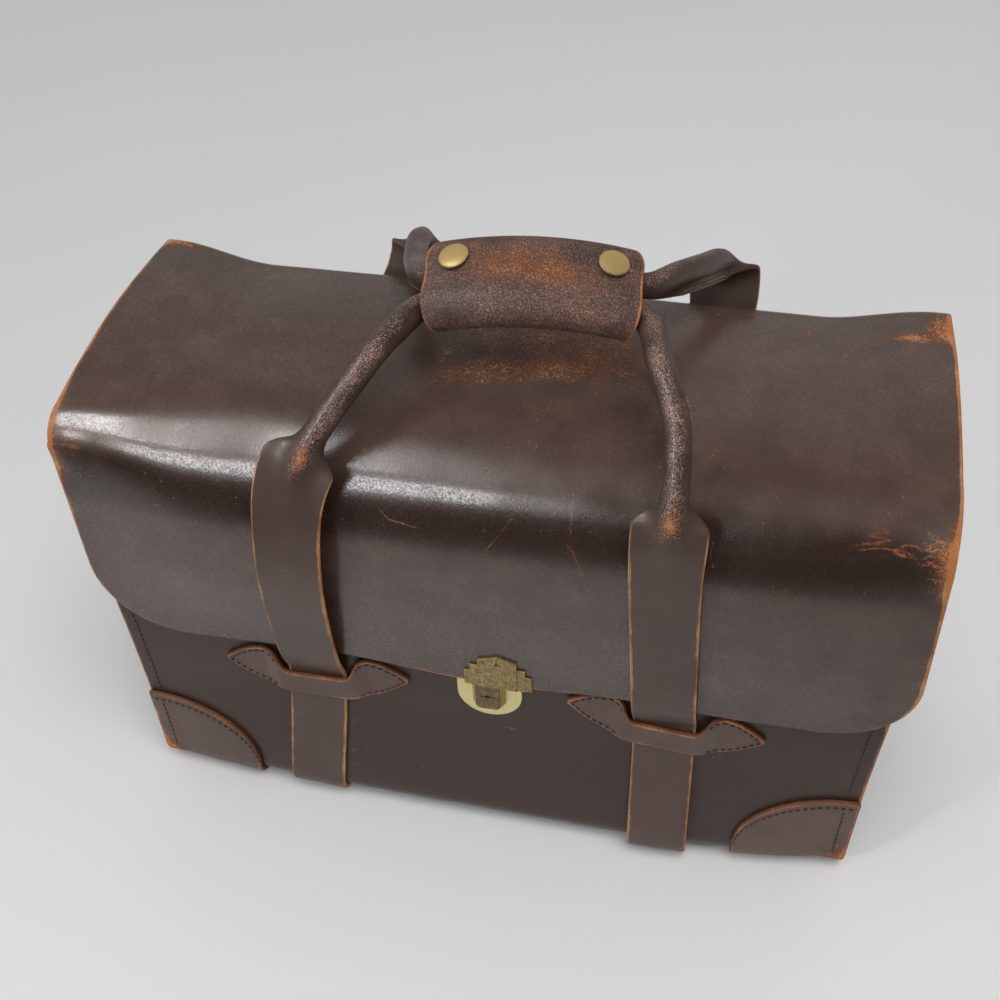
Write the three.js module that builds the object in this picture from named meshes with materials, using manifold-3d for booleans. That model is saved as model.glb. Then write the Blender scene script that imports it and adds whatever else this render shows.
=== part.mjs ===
// Leather briefcase: an open-topped case under a fold-over flap, two rolled carrying handles joined by a
// snapped grip, and a brass hasp lock. Millimetres, +X to the right of the front face, +Y back, +Z up.
import * as THREE from 'three';
import { mergeVertices } from 'three/addons/utils/BufferGeometryUtils.js';
import Module from 'manifold-3d';

const wasm = await Module();
wasm.setup();

// Leather and clearances
const GAP = 0.3;
const HIDE = 3;
const STRAP_THICK = 2.7;
const GUSSET_THICK = 2.5;
const PATCH_THICK = 2.7;
const KEEPER_THICK = 2.7;
const WRAP_THICK = 2.5;

// Case: the straps and patches under it lift its base by LIFT
const LIFT = GAP + STRAP_THICK;
const FRONT_Y = -76;
const BACK_Y = 76;
const BASE_RADIUS = 15;
const BASE_HALF_WIDTH = 213;
const CASE_TOP = 266;
const FRONT_FLARE = 16;
const BACK_FLARE = 4;
const PANEL_CORNER = 8;
const BASE_SEAM_Y = 30;
// The lower front edge bows out between the corners, a little more on the right
const BOW = 9;
const BOW_SKEW = 0.25;
const BOW_HALF = 198;
const BOW_TOP = 95;
// Heights and shares of the half width at which the front panel is drawn
const PANEL_LEVEL = 164;
const FRONT_LEVELS = [BOW_TOP, 80, 66, 50, 34];
const FRONT_ACROSS = [0, 0.5, 0.69, 0.81, BOW_HALF / BASE_HALF_WIDTH, 1];
const GUSSET_INSET = 12;
const GUSSET_TOP = 260;
const GUSSET_DIP = 12;
const GUSSET_WALL_DROP = 1;

// Flap: one hide with the back. FOLD and BEND are the sharp corners of its profile before rounding.
const BACK_STRAIGHT = 225;
const FOLD_Y = 76;
const FOLD_Z = 288.5;
const FOLD_RADIUS = 8;
const BEND_Y = -91;
const BEND_Z = 283;
const BEND_RADIUS = 37;
const BEND_RADIUS_END = 17;
const TOP_CROWN = 6;
const FLAP_EDGE_Y = -82;
const FLAP_EDGE_Y_END = -83;
const FLAP_CORNER = 47;
const FLAP_STRAIGHT = 0.63;
const HIDE_COLUMNS = 17;
// Shares of the half width where the corners start to lift, where they are fully lifted, and where the
// bend starts to tighten
const LIFT_FROM = 0.7;
const LIFT_FULL = 0.97;
const TIGHT_FROM = 0.45;
const CORNER_LIFT = [
  { corner: 'fold', left: 10, right: 8.5, out: 2 },
  { corner: 'bend', left: 3, right: 5, out: -4 },
];
// Side edges of the hide, by stage along its length; STAGE has the stages between these rows too
const HIDE_SIDES = [
  { stage: 'base', left: -213, right: 213 },
  { stage: 'back', left: -213, right: 213 },
  { stage: 'fold', left: -216, right: 222 },
  { stage: 'bend', left: -217.5, right: 223 },
  { stage: 'edge', left: -221, right: 228 },
];
const STAGE = {
  seam: 0,
  foot: 0.5,
  back: 1,
  straight: 1.7,
  foldIn: 1.9,
  foldOut: 2.1,
  bendIn: 2.8,
  bendOut: 3.1,
  edge: 4,
};
// Height of the flap's lower edge across its width: at runs from -1, the left end, to 1
const FLAP_EDGE = [
  { at: -1, z: 136 },
  { at: -0.55, z: 137 },
  { at: 0.03, z: 129.5 },
  { at: 0.4, z: 133 },
  { at: 0.75, z: 131 },
  { at: 1, z: 132 },
];

// Handles
const STRAP_WIDTH = 34.6;
const SHOULDER_WIDTH = 38;
const ROLL_RADIUS = 6.5;
const ROLL_SWEEP = 310;
const FIN_DEPTH = 4.5;
const FIN_HALF = 1.6;
const OUTWARD_Z = 285;
const KEEPER_TOP = 112;
// Where each strap passes under the case and at its keeper, how far it stands off the lower edge, and
// the angle at which its keeper is sewn on
const STRAPS = [
  { side: 'front_left', base: -108, keeper: -99, slack: 0, tilt: 1 },
  { side: 'front_right', base: 103.5, keeper: 101, slack: 4, tilt: -5.5 },
  { side: 'back_left', base: -105, keeper: -102, slack: 0, tilt: 0 },
  { side: 'back_right', base: 105, keeper: 103, slack: 0, tilt: 0 },
];
// Free run of each strap from its keeper to the grip: its middle line, width and how far it is rolled
const RUNS = {
  front_left: [
    { x: -98, y: -86.2, z: 134, width: STRAP_WIDTH, roll: 0 },
    { x: -96, y: -95.5, z: 172, width: STRAP_WIDTH, roll: 0 },
    { x: -93, y: -103, z: 212, width: STRAP_WIDTH, roll: 0 },
    { x: -90, y: -103.5, z: 246, width: 35.5, roll: 0.03 },
    { x: -87, y: -100, z: 269, width: SHOULDER_WIDTH, roll: 0.25 },
    { x: -82, y: -94.5, z: 285, width: STRAP_WIDTH, roll: 0.85 },
    { x: -75, y: -84, z: 297, width: STRAP_WIDTH, roll: 1 },
    { x: -63, y: -65, z: 312, width: STRAP_WIDTH, roll: 1 },
    { x: -50, y: -42, z: 325, width: STRAP_WIDTH, roll: 1 },
  ],
  front_right: [
    { x: 100, y: -85.8, z: 134, width: STRAP_WIDTH, roll: 0 },
    { x: 98, y: -90, z: 176, width: STRAP_WIDTH, roll: 0 },
    { x: 96, y: -95, z: 222, width: STRAP_WIDTH, roll: 0 },
    { x: 95, y: -97.8, z: 250, width: 35.5, roll: 0.03 },
    { x: 95, y: -98, z: 270, width: SHOULDER_WIDTH, roll: 0.25 },
    { x: 95, y: -92.5, z: 287, width: STRAP_WIDTH, roll: 0.85 },
    { x: 95, y: -82, z: 300, width: STRAP_WIDTH, roll: 1 },
    { x: 91.5, y: -63, z: 314, width: STRAP_WIDTH, roll: 1 },
    { x: 81, y: -40, z: 326, width: STRAP_WIDTH, roll: 1 },
  ],
  back_left: [
    { x: -100, y: 78, z: 150, width: STRAP_WIDTH, roll: 0 },
    { x: -95, y: 79, z: 205, width: STRAP_WIDTH, roll: 0 },
    { x: -82, y: 84, z: 255, width: STRAP_WIDTH, roll: 0 },
    { x: -70, y: 91, z: 283, width: SHOULDER_WIDTH, roll: 0.12 },
    { x: -67.5, y: 92, z: 296, width: SHOULDER_WIDTH, roll: 0.5 },
    { x: -67, y: 84, z: 305, width: STRAP_WIDTH, roll: 0.95 },
    { x: -63, y: 62, z: 312, width: STRAP_WIDTH, roll: 1 },
    { x: -55, y: 34, z: 320, width: STRAP_WIDTH, roll: 1 },
  ],
  back_right: [
    { x: 103, y: 78, z: 150, width: STRAP_WIDTH, roll: 0 },
    { x: 103, y: 79, z: 205, width: STRAP_WIDTH, roll: 0 },
    { x: 104, y: 84, z: 255, width: STRAP_WIDTH, roll: 0 },
    { x: 104, y: 91, z: 284, width: SHOULDER_WIDTH, roll: 0.12 },
    { x: 103, y: 92, z: 298, width: SHOULDER_WIDTH, roll: 0.5 },
    { x: 100, y: 84, z: 308, width: STRAP_WIDTH, roll: 0.95 },
    { x: 92, y: 63, z: 317, width: STRAP_WIDTH, roll: 1 },
    { x: 81, y: 40, z: 325, width: STRAP_WIDTH, roll: 1 },
  ],
};

// Grip: a leather wrap bent along an arch, its oval section tipped forward
const GRIP = new THREE.Vector3(14, -2, 338);
const GRIP_LENGTH = 101;
const GRIP_ARCH = 150;
const GRIP_TILT = 21;
const GRIP_YAW = 5;
const GRIP_WIDE = 46;
const GRIP_HIGH = 25;
const GRIP_OVERLAP = 60;
const LAP_CUT = 0.16;
// Middle of each roll inside the wrap, by share of its half length; its fin is pressed flat there
const FIN_IN_GRIP = 0.2;
const ROLL_IN_GRIP = [
  { share: 1.08, spread: 9, rise: 0.4 },
  { share: 0.6, spread: 8.5, rise: 1.4 },
  { share: 0, spread: 8, rise: 1.6 },
];
const SNAP_DIAMETER = 15.5;
// Outline of a cap from its seat to its crown: share of its radius and height
const SNAP_OUTLINE = [
  { reach: 0, rise: 0 },
  { reach: 0.92, rise: 0 },
  { reach: 1, rise: 0.6 },
  { reach: 0.97, rise: 1.1 },
  { reach: 0.72, rise: 1.9 },
  { reach: 0.38, rise: 2.3 },
  { reach: 0, rise: 2.4 },
];
const SNAP_SPREAD = 36;
const SNAP_BACK = 8;
const SNAP_LEAN = 5;

// Keepers: half outline from the middle of the band outwards, heights above the case's base line
const KEEPER_HALF = 55;
const KEEPER_OUTLINE = [
  { x: 0, low: 95, high: 112 },
  { x: 17, low: 95, high: 112 },
  { x: 19.5, low: 95.5, high: 113.5 },
  { x: 22, low: 96, high: 119.5 },
  { x: 26, low: 97, high: 126.5 },
  { x: 31, low: 98.5, high: 128 },
  { x: 38, low: 101.5, high: 127 },
  { x: 46, low: 106.5, high: 123 },
  { x: 52, low: 111.5, high: 118.6 },
  { x: KEEPER_HALF, low: 113.8, high: 116.6 },
];
const KEEPER_RAMP = 4;
const KEEPER_EASE = 1;

// Corner patches
const PATCH_WIDTH = 66;
const PATCH_HEIGHT = 65;
const PATCH_TOE = 4;
const PATCH_UNDER = 34;

// Lock
const PLATE_X = 2.5;
const PLATE_WIDTH = 37;
const PLATE_LOW = 97;
const PLATE_HIGH = 150;
const PLATE_THICK = 1.3;
const SLIDE_WIDTH = 13.6;
const SLIDE_SLOPE = 3;
const SLIDE_LOW = 107.5;
const SLIDE_HIGH = 127.6;
const SLIDE_THICK = 4.4;
const SLIDE_CORNER = 3;
const KEYHOLE_RADIUS = 1.5;
const KEYHOLE_LENGTH = 8.4;
const KEYHOLE_SLOT = 0.55;
const HASP_X = 9;
const HASP_THICK = 1.7;
const HASP_RIVET = 1.1;
const RIVET_DROP = 6.2;
// Hasp outline, half of it: height above its foot and half width at that height, up to its peak
const HASP_FOOT = 128.6;
const HASP_STEPS = [
  { rise: 0, half: 18.9 },
  { rise: 12.5, half: 18.9 },
  { rise: 12.5, half: 15.6 },
  { rise: 18, half: 15.6 },
  { rise: 18, half: 10.9 },
  { rise: 23.3, half: 10.9 },
  { rise: 27.5, half: 0 },
];

// Finishes
const FINISH = {
  hide: { color: 0x3a2723, roughness: 0.42, metalness: 0 },
  strap: { color: 0x40291f, roughness: 0.48, metalness: 0 },
  trim: { color: 0x472a1e, roughness: 0.5, metalness: 0 },
  wrap: { color: 0x54362a, roughness: 0.62, metalness: 0 },
  snap: { color: 0xa88a45, roughness: 0.38, metalness: 1 },
  plate: { color: 0xd9c878, roughness: 0.3, metalness: 1 },
  hasp: { color: 0x83694a, roughness: 0.45, metalness: 1 },
  slide: { color: 0x5c4a3c, roughness: 0.5, metalness: 1 },
};

const { clamp, degToRad, lerp, smoothstep } = THREE.MathUtils;

const bag = new THREE.Group();

// Bows the lower front edge: moves whatever lies there forwards, the front most and the back not at all
function bowOut(geometry) {
  const { position } = geometry.attributes;
  const point = new THREE.Vector3();
  for (let i = 0; i < position.count; i += 1) {
    point.fromBufferAttribute(position, i);
    const across = point.x / BOW_HALF;
    const low = 1 - smoothstep(point.z, BASE_RADIUS, BOW_TOP);
    const front = clamp((BACK_Y - point.y) / (BACK_Y - FRONT_Y), 0, 1);
    const share = Math.max(0, 1 - across ** 4) * (1 + BOW_SKEW * across);
    position.setY(i, point.y - BOW * share * low * front);
  }
  return geometry;
}

function addPiece(name, geometry, finish, parent = bag) {
  const mesh = new THREE.Mesh(geometry, new THREE.MeshStandardMaterial(FINISH[finish]));
  mesh.name = name;
  parent.add(mesh);
  return mesh;
}

function range(count) {
  return Array.from({ length: count }, (_, index) => index / (count - 1));
}

// A value between the rows of a table, read off a smooth curve through them
function tableValue(rows, key, column, at) {
  const last = rows.length - 1;
  const index = clamp(rows.findIndex((row) => row[key] >= at) - 1, 0, last - 1);
  const share = (at - rows[index][key]) / (rows[index + 1][key] - rows[index][key]);
  return lerp(rows[index][column], rows[index + 1][column], smoothstep(share, 0, 1));
}

// Turns the faces outwards when the triangles run the wrong way round
function closedGeometry(vertices, triangles) {
  let volume = 0;
  for (const [a, b, c] of triangles) {
    volume += vertices[a].dot(vertices[b].clone().cross(vertices[c]));
  }
  const index = triangles.flatMap(([a, b, c]) => (volume > 0 ? [a, b, c] : [a, c, b]));
  const geometry = new THREE.BufferGeometry().setFromPoints(vertices);
  geometry.setIndex(index);
  return geometry;
}

// A sheet of even thickness: grid[row][column] is its outer face, rows x columns pointing outwards
function sheetSolid(grid, thickness) {
  const rows = grid.length;
  const columns = grid[0].length;
  const vertices = grid.flat().map((point) => point.clone());
  for (let i = 0; i < rows; i += 1) {
    for (let j = 0; j < columns; j += 1) {
      const alongRows = grid[Math.min(i + 1, rows - 1)][j].clone().sub(grid[Math.max(i - 1, 0)][j]);
      const across = grid[i][Math.min(j + 1, columns - 1)].clone().sub(grid[i][Math.max(j - 1, 0)]);
      const normal = alongRows.cross(across).normalize();
      vertices.push(grid[i][j].clone().addScaledVector(normal, -thickness));
    }
  }
  const outer = (i, j) => i * columns + j;
  const inner = (i, j) => rows * columns + outer(i, j);
  const triangles = [];
  const quad = (a, b, c, d) => triangles.push([a, b, c], [a, c, d]);
  for (let i = 0; i < rows - 1; i += 1) {
    for (let j = 0; j < columns - 1; j += 1) {
      quad(outer(i, j), outer(i + 1, j), outer(i + 1, j + 1), outer(i, j + 1));
      quad(inner(i, j), inner(i, j + 1), inner(i + 1, j + 1), inner(i + 1, j));
    }
    const right = columns - 1;
    quad(outer(i, 0), inner(i, 0), inner(i + 1, 0), outer(i + 1, 0));
    quad(outer(i, right), outer(i + 1, right), inner(i + 1, right), inner(i, right));
  }
  for (let j = 0; j < columns - 1; j += 1) {
    const low = rows - 1;
    quad(outer(0, j), outer(0, j + 1), inner(0, j + 1), inner(0, j));
    quad(outer(low, j), inner(low, j), inner(low, j + 1), outer(low, j + 1));
  }
  return closedGeometry(vertices, triangles);
}

function toSolid(geometry) {
  const bare = geometry.clone();
  bare.deleteAttribute('normal');
  bare.deleteAttribute('uv');
  const merged = mergeVertices(bare, 1e-4);
  const vertProperties = new Float32Array(merged.attributes.position.array);
  const triVerts = new Uint32Array(merged.index.array);
  return new wasm.Manifold(new wasm.Mesh({ numProp: 3, vertProperties, triVerts }));
}

function toGeometry(solid) {
  const mesh = solid.getMesh();
  const geometry = new THREE.BufferGeometry();
  geometry.setAttribute('position', new THREE.BufferAttribute(mesh.vertProperties, 3));
  geometry.setIndex(new THREE.BufferAttribute(mesh.triVerts, 1));
  return geometry;
}

// Half width of the case at a height, wider at the top and more so at the front
function caseHalfWidth(y, z) {
  const flare = lerp(FRONT_FLARE, BACK_FLARE, (y - FRONT_Y) / (BACK_Y - FRONT_Y));
  return BASE_HALF_WIDTH + flare * (clamp(z, 0, CASE_TOP) / CASE_TOP) ** 2;
}

// Point of the case's lower corner, offset outwards: side is -1 at the front and 1 at the back,
// turn runs from 0, facing down, to 1, facing out
function baseCorner(side, turn, offset) {
  const angle = turn * Math.PI / 2;
  const reach = BASE_RADIUS + offset;
  return {
    y: side * (BACK_Y - BASE_RADIUS + reach * Math.sin(angle)),
    z: LIFT + BASE_RADIUS - reach * Math.cos(angle),
    normal: new THREE.Vector3(0, side * Math.sin(angle), -Math.cos(angle)),
  };
}

// Front panel and base in one hide
function frontAndBase() {
  const rows = [];
  for (const share of range(4)) {
    const angle = share * Math.PI / 2;
    const drop = PANEL_CORNER * (1 - Math.cos(angle));
    rows.push({ y: FRONT_Y, z: CASE_TOP - drop, cut: PANEL_CORNER * (1 - Math.sin(angle)) });
  }
  for (const z of [PANEL_LEVEL, ...FRONT_LEVELS, LIFT + BASE_RADIUS]) {
    rows.push({ y: FRONT_Y, z, cut: 0 });
  }
  for (const turn of range(6).slice(1)) {
    rows.push({ ...baseCorner(-1, 1 - turn, 0), cut: 0 });
  }
  for (const share of range(3).slice(1)) {
    rows.push({ y: lerp(FRONT_Y + BASE_RADIUS, BASE_SEAM_Y, share), z: LIFT, cut: 0 });
  }
  const columns = [...FRONT_ACROSS.slice(1).reverse().map((share) => -share), ...FRONT_ACROSS];
  return rows.map((row) => columns.map((share) => {
    const half = caseHalfWidth(row.y, row.z) - row.cut;
    return new THREE.Vector3(share * half, row.y, row.z);
  }));
}

// Profile of the back and flap at one place across: fillets at the fold and at the bend
function hideProfile(at) {
  const end = smoothstep(Math.abs(at), LIFT_FROM, LIFT_FULL);
  const soft = smoothstep(Math.abs(at), TIGHT_FROM, 1);
  const side = at < 0 ? 'left' : 'right';
  const [foldLift, bendLift] = CORNER_LIFT;
  const start = new THREE.Vector2(BACK_Y, BACK_STRAIGHT);
  const fold = new THREE.Vector2(FOLD_Y + end * foldLift.out, FOLD_Z + end * foldLift[side]);
  const bend = new THREE.Vector2(BEND_Y - end * bendLift.out, BEND_Z + end * bendLift[side]);
  const edgeZ = tableValue(FLAP_EDGE, 'at', 'z', at);
  const edge = new THREE.Vector2(lerp(FLAP_EDGE_Y, FLAP_EDGE_Y_END, soft), edgeZ);
  return {
    start,
    edge,
    foldArc: fillet(start, fold, bend, FOLD_RADIUS),
    bendArc: fillet(fold, bend, edge, lerp(BEND_RADIUS, BEND_RADIUS_END, soft)),
  };
}

// Arc that rounds the corner between two straight runs, as a function of its share
function fillet(before, corner, after, radius) {
  const into = before.clone().sub(corner).normalize();
  const out = after.clone().sub(corner).normalize();
  const half = Math.acos(clamp(into.dot(out), -1, 1)) / 2;
  const reach = radius / Math.tan(half);
  const centre = corner.clone().addScaledVector(into.clone().add(out).normalize(), radius / Math.sin(half));
  const first = corner.clone().addScaledVector(into, reach).sub(centre);
  const last = corner.clone().addScaledVector(out, reach).sub(centre);
  const sweep = Math.atan2(first.cross(last), first.dot(last));
  const point = (share) => first.clone().rotateAround(new THREE.Vector2(), sweep * share).add(centre);
  return { point, first: point(0), last: point(1) };
}

// Rows of the back and flap: stage reads HIDE_SIDES, cut rounds off the flap's lower corners
function hideRows() {
  const rows = [];
  const addRows = (shares, from, to, place) => {
    for (const share of shares) {
      rows.push({ stage: lerp(from, to, share), cut: 0, place: (at) => place(share, hideProfile(at)) });
    }
  };
  const steps = (count) => range(count + 1).slice(1);
  const downFront = (share, profile) => profile.bendArc.last.clone().lerp(profile.edge, share);
  addRows([0, 1], STAGE.seam, STAGE.foot, (share) => {
    return new THREE.Vector2(lerp(BASE_SEAM_Y + GAP, BACK_Y - BASE_RADIUS, share), LIFT);
  });
  addRows(steps(5), STAGE.foot, STAGE.back, (share) => {
    const corner = baseCorner(1, share, 0);
    return new THREE.Vector2(corner.y, corner.z);
  });
  addRows(steps(2), STAGE.back, STAGE.straight, (share) => {
    return new THREE.Vector2(BACK_Y, lerp(LIFT + BASE_RADIUS, BACK_STRAIGHT, share));
  });
  addRows(steps(2), STAGE.straight, STAGE.foldIn, (share, profile) => {
    return profile.start.clone().lerp(profile.foldArc.first, share);
  });
  addRows(steps(4), STAGE.foldIn, STAGE.foldOut, (share, profile) => profile.foldArc.point(share));
  addRows(steps(7), STAGE.foldOut, STAGE.bendIn, (share, profile) => {
    const rise = new THREE.Vector2(0, TOP_CROWN * Math.sin(Math.PI * share));
    return profile.foldArc.last.clone().lerp(profile.bendArc.first, share).add(rise);
  });
  addRows(steps(7), STAGE.bendIn, STAGE.bendOut, (share, profile) => profile.bendArc.point(share));
  addRows([FLAP_STRAIGHT / 2, FLAP_STRAIGHT], STAGE.bendOut, STAGE.edge, downFront);
  for (const share of steps(6)) {
    const angle = share * Math.PI / 2;
    addRows([lerp(FLAP_STRAIGHT, 1, Math.sin(angle))], STAGE.bendOut, STAGE.edge, downFront);
    rows.at(-1).cut = FLAP_CORNER * (1 - Math.cos(angle));
  }
  return rows;
}

function hideSide(stage, column) {
  const index = Math.min(Math.floor(stage), HIDE_SIDES.length - 2);
  return lerp(HIDE_SIDES[index][column], HIDE_SIDES[index + 1][column], stage - index);
}

function backAndFlap() {
  const columns = range(HIDE_COLUMNS).map((share) => Math.sin(Math.PI * (share - 0.5)));
  return hideRows().map((row) => columns.map((at) => {
    const left = hideSide(row.stage, 'left') + row.cut;
    const right = hideSide(row.stage, 'right') - row.cut;
    const x = lerp(left, right, (at + 1) / 2);
    const place = row.place(at);
    return new THREE.Vector3(x, place.x, place.y);
  }));
}

// End wall: a plate set in from the edges, with a flange round its front, foot and back
function gusset(side) {
  const reach = HIDE + GAP;
  const flange = [];
  const flangeRow = (y, z) => flange.push(range(2).map((share) => {
    const half = caseHalfWidth(y, z) - GUSSET_INSET * (side > 0 ? 1 - share : share);
    return new THREE.Vector3(side * half, y, z);
  }));
  for (const share of range(6)) {
    flangeRow(FRONT_Y + reach, lerp(GUSSET_TOP, LIFT + BASE_RADIUS, share));
  }
  for (const turn of range(5).slice(1)) {
    const corner = baseCorner(-1, 1 - turn, -reach);
    flangeRow(corner.y, corner.z);
  }
  for (const turn of range(5)) {
    const corner = baseCorner(1, turn, -reach);
    flangeRow(corner.y, corner.z);
  }
  for (const share of range(6).slice(1)) {
    flangeRow(BACK_Y - reach, lerp(LIFT + BASE_RADIUS, GUSSET_TOP, share));
  }
  const tuck = reach + GUSSET_THICK / 2;
  const innerRadius = BASE_RADIUS - tuck;
  const wall = range(7).map((down) => range(7).map((share) => {
    const across = side > 0 ? share : 1 - share;
    const y = lerp(FRONT_Y + tuck, BACK_Y - tuck, across);
    const intoCorner = Math.max(0, Math.abs(y) - (BACK_Y - BASE_RADIUS));
    const foot = LIFT + BASE_RADIUS - Math.sqrt(Math.max(0, innerRadius ** 2 - intoCorner ** 2));
    const head = GUSSET_TOP - GUSSET_WALL_DROP - GUSSET_DIP * Math.cos((across - 0.5) * Math.PI);
    const z = lerp(head, foot, down);
    return new THREE.Vector3(side * (caseHalfWidth(y, z) - GUSSET_INSET + GUSSET_THICK), y, z);
  }));
  const joined = toSolid(sheetSolid(flange, GUSSET_THICK)).add(toSolid(sheetSolid(wall, GUSSET_THICK)));
  return toGeometry(joined);
}

// Corner patch: wraps from the panel round the lower corner to the underside
function cornerPatch(side, face) {
  const offset = GAP + PATCH_THICK;
  const toe = LIFT + BASE_RADIUS + PATCH_TOE;
  const grid = [];
  const addRow = (place) => grid.push(range(8).map((share) => {
    const angle = share * Math.PI / 2;
    const spot = place(lerp(toe, LIFT + PATCH_HEIGHT, Math.cos(angle)));
    const x = side * (caseHalfWidth(spot.y, spot.z) - PATCH_WIDTH * Math.sin(angle));
    return new THREE.Vector3(x, spot.y, spot.z);
  }));
  for (const share of range(5)) {
    addRow((top) => ({ y: face * (BACK_Y + offset), z: lerp(top, LIFT + BASE_RADIUS, share) }));
  }
  for (const turn of range(6).slice(1)) {
    addRow(() => baseCorner(face, 1 - turn, offset));
  }
  addRow(() => ({ y: face * (BACK_Y - PATCH_UNDER), z: 0 }));
  return sheetSolid(side * face > 0 ? grid : grid.map((row) => [...row].reverse()), PATCH_THICK);
}

// Leaf-shaped strap keeper: flat wings on the panel and a band raised over the strap
function keeper(strap, face) {
  const mirrored = KEEPER_OUTLINE.slice(1).reverse().map((row) => ({ ...row, x: -row.x }));
  const outline = [...mirrored, ...KEEPER_OUTLINE];
  const flat = GAP + KEEPER_THICK;
  const raised = flat + GAP + STRAP_THICK;
  const rampStart = STRAP_WIDTH / 2 + KEEPER_EASE + KEEPER_THICK;
  const grid = outline.map((row) => range(4).map((share) => {
    const rise = 1 - smoothstep(Math.abs(row.x), rampStart, rampStart + KEEPER_RAMP);
    const y = face * (BACK_Y + lerp(flat, raised, rise));
    const spot = new THREE.Vector2(row.x, lerp(row.low, row.high, face < 0 ? share : 1 - share));
    spot.rotateAround(new THREE.Vector2(0, KEEPER_TOP), degToRad(strap.tilt));
    return new THREE.Vector3(strap.keeper + spot.x, y, spot.y);
  }));
  return sheetSolid(grid, KEEPER_THICK);
}

// Place on the grip's arch: turn along it, then across and up in its tipped section
function gripPlace(turn, across, up) {
  const tilt = degToRad(GRIP_TILT);
  const back = new THREE.Vector3(0, Math.cos(tilt), Math.sin(tilt));
  const rise = new THREE.Vector3(0, -Math.sin(tilt), Math.cos(tilt));
  const normal = rise.clone().multiplyScalar(Math.cos(turn));
  normal.x = Math.sin(turn);
  const point = GRIP.clone().addScaledVector(rise, -GRIP_ARCH).addScaledVector(normal, GRIP_ARCH + up);
  point.addScaledVector(back, across).sub(GRIP);
  const upright = new THREE.Vector3(0, 0, 1);
  const yaw = degToRad(GRIP_YAW);
  return { point: point.applyAxisAngle(upright, yaw).add(GRIP), normal: normal.applyAxisAngle(upright, yaw) };
}

// Section of the strap: nine points over its outer face and three below, rolled into a tube with a sewn fin
function strapSection(width, roll, fin) {
  const flat = range(9).map((share) => [width * (share - 0.5), STRAP_THICK / 2]);
  const round = range(9).map((share) => {
    const angle = degToRad(ROLL_SWEEP * (share - 0.5));
    return [ROLL_RADIUS * Math.sin(angle), ROLL_RADIUS * Math.cos(angle)];
  });
  for (const side of [1, 0, -1]) {
    flat.push([side * width / 2, -STRAP_THICK / 2]);
    round.push([side * FIN_HALF, -ROLL_RADIUS - FIN_DEPTH * fin]);
  }
  return flat.map(([u, v], index) => [lerp(u, round[index][0], roll), lerp(v, round[index][1], roll)]);
}

// Stations of one strap, from under the case up to the middle of the grip
function strapStations(strap, face) {
  const half = STRAP_THICK / 2;
  const mid = GAP + half;
  const foot = LIFT + BASE_RADIUS;
  const lean = (z) => lerp(strap.base, strap.keeper, clamp((z - foot) / (KEEPER_TOP - foot), 0, 1));
  const stations = [];
  const flat = { width: STRAP_WIDTH, roll: 0, fin: 1 };
  const down = new THREE.Vector3(0, 0, -1);
  const out = new THREE.Vector3(0, face, 0);
  stations.push({ ...flat, point: new THREE.Vector3(strap.base, face * GAP / 2, half), normal: down });
  for (const turn of range(6)) {
    const corner = baseCorner(face, turn, mid + strap.slack * Math.sin(turn * Math.PI / 2) ** 2);
    const point = new THREE.Vector3(strap.base, corner.y, corner.z);
    stations.push({ ...flat, point, normal: corner.normal });
  }
  const panelY = face * (BACK_Y + mid);
  const levels = face < 0 ? FRONT_LEVELS : FRONT_LEVELS.slice(0, 1);
  for (const z of [...levels].reverse()) {
    const y = panelY + face * strap.slack * (1 - smoothstep(z, foot, BOW_TOP));
    stations.push({ ...flat, point: new THREE.Vector3(lean(z), y, z), normal: out });
  }
  const leaving = new THREE.Vector3(strap.keeper, panelY, KEEPER_TOP + STRAP_THICK);
  const knots = [{ ...flat, point: leaving, normal: out }];
  for (const row of RUNS[strap.side]) {
    const normal = new THREE.Vector3(0, row.y, Math.max(0, row.z - OUTWARD_Z)).normalize();
    const point = new THREE.Vector3(row.x, row.y, row.z);
    knots.push({ point, normal, width: row.width, roll: row.roll, fin: 1 });
  }
  const side = Math.sign(strap.base);
  const last = GRIP_LENGTH / 2 / GRIP_ARCH;
  for (const { share, spread, rise } of ROLL_IN_GRIP) {
    const place = gripPlace(side * last * share, face * spread, rise);
    knots.push({ ...place, width: STRAP_WIDTH, roll: 1, fin: FIN_IN_GRIP });
  }
  const curve = new THREE.CatmullRomCurve3(knots.map((knot) => knot.point), false, 'centripetal');
  for (let i = 0; i < knots.length - 1; i += 1) {
    for (const share of [0, 0.5]) {
      const [here, next] = [knots[i], knots[i + 1]];
      const point = curve.getPoint((i + share) / (knots.length - 1));
      if (point.z < CASE_TOP / 2) point.y = face * Math.max(face * point.y, BACK_Y + mid);
      stations.push({
        point,
        normal: here.normal.clone().lerp(next.normal, share),
        width: lerp(here.width, next.width, share),
        roll: lerp(here.roll, next.roll, share),
        fin: lerp(here.fin, next.fin, share),
      });
    }
  }
  return { stations, middle: knots[knots.length - 1] };
}

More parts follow.
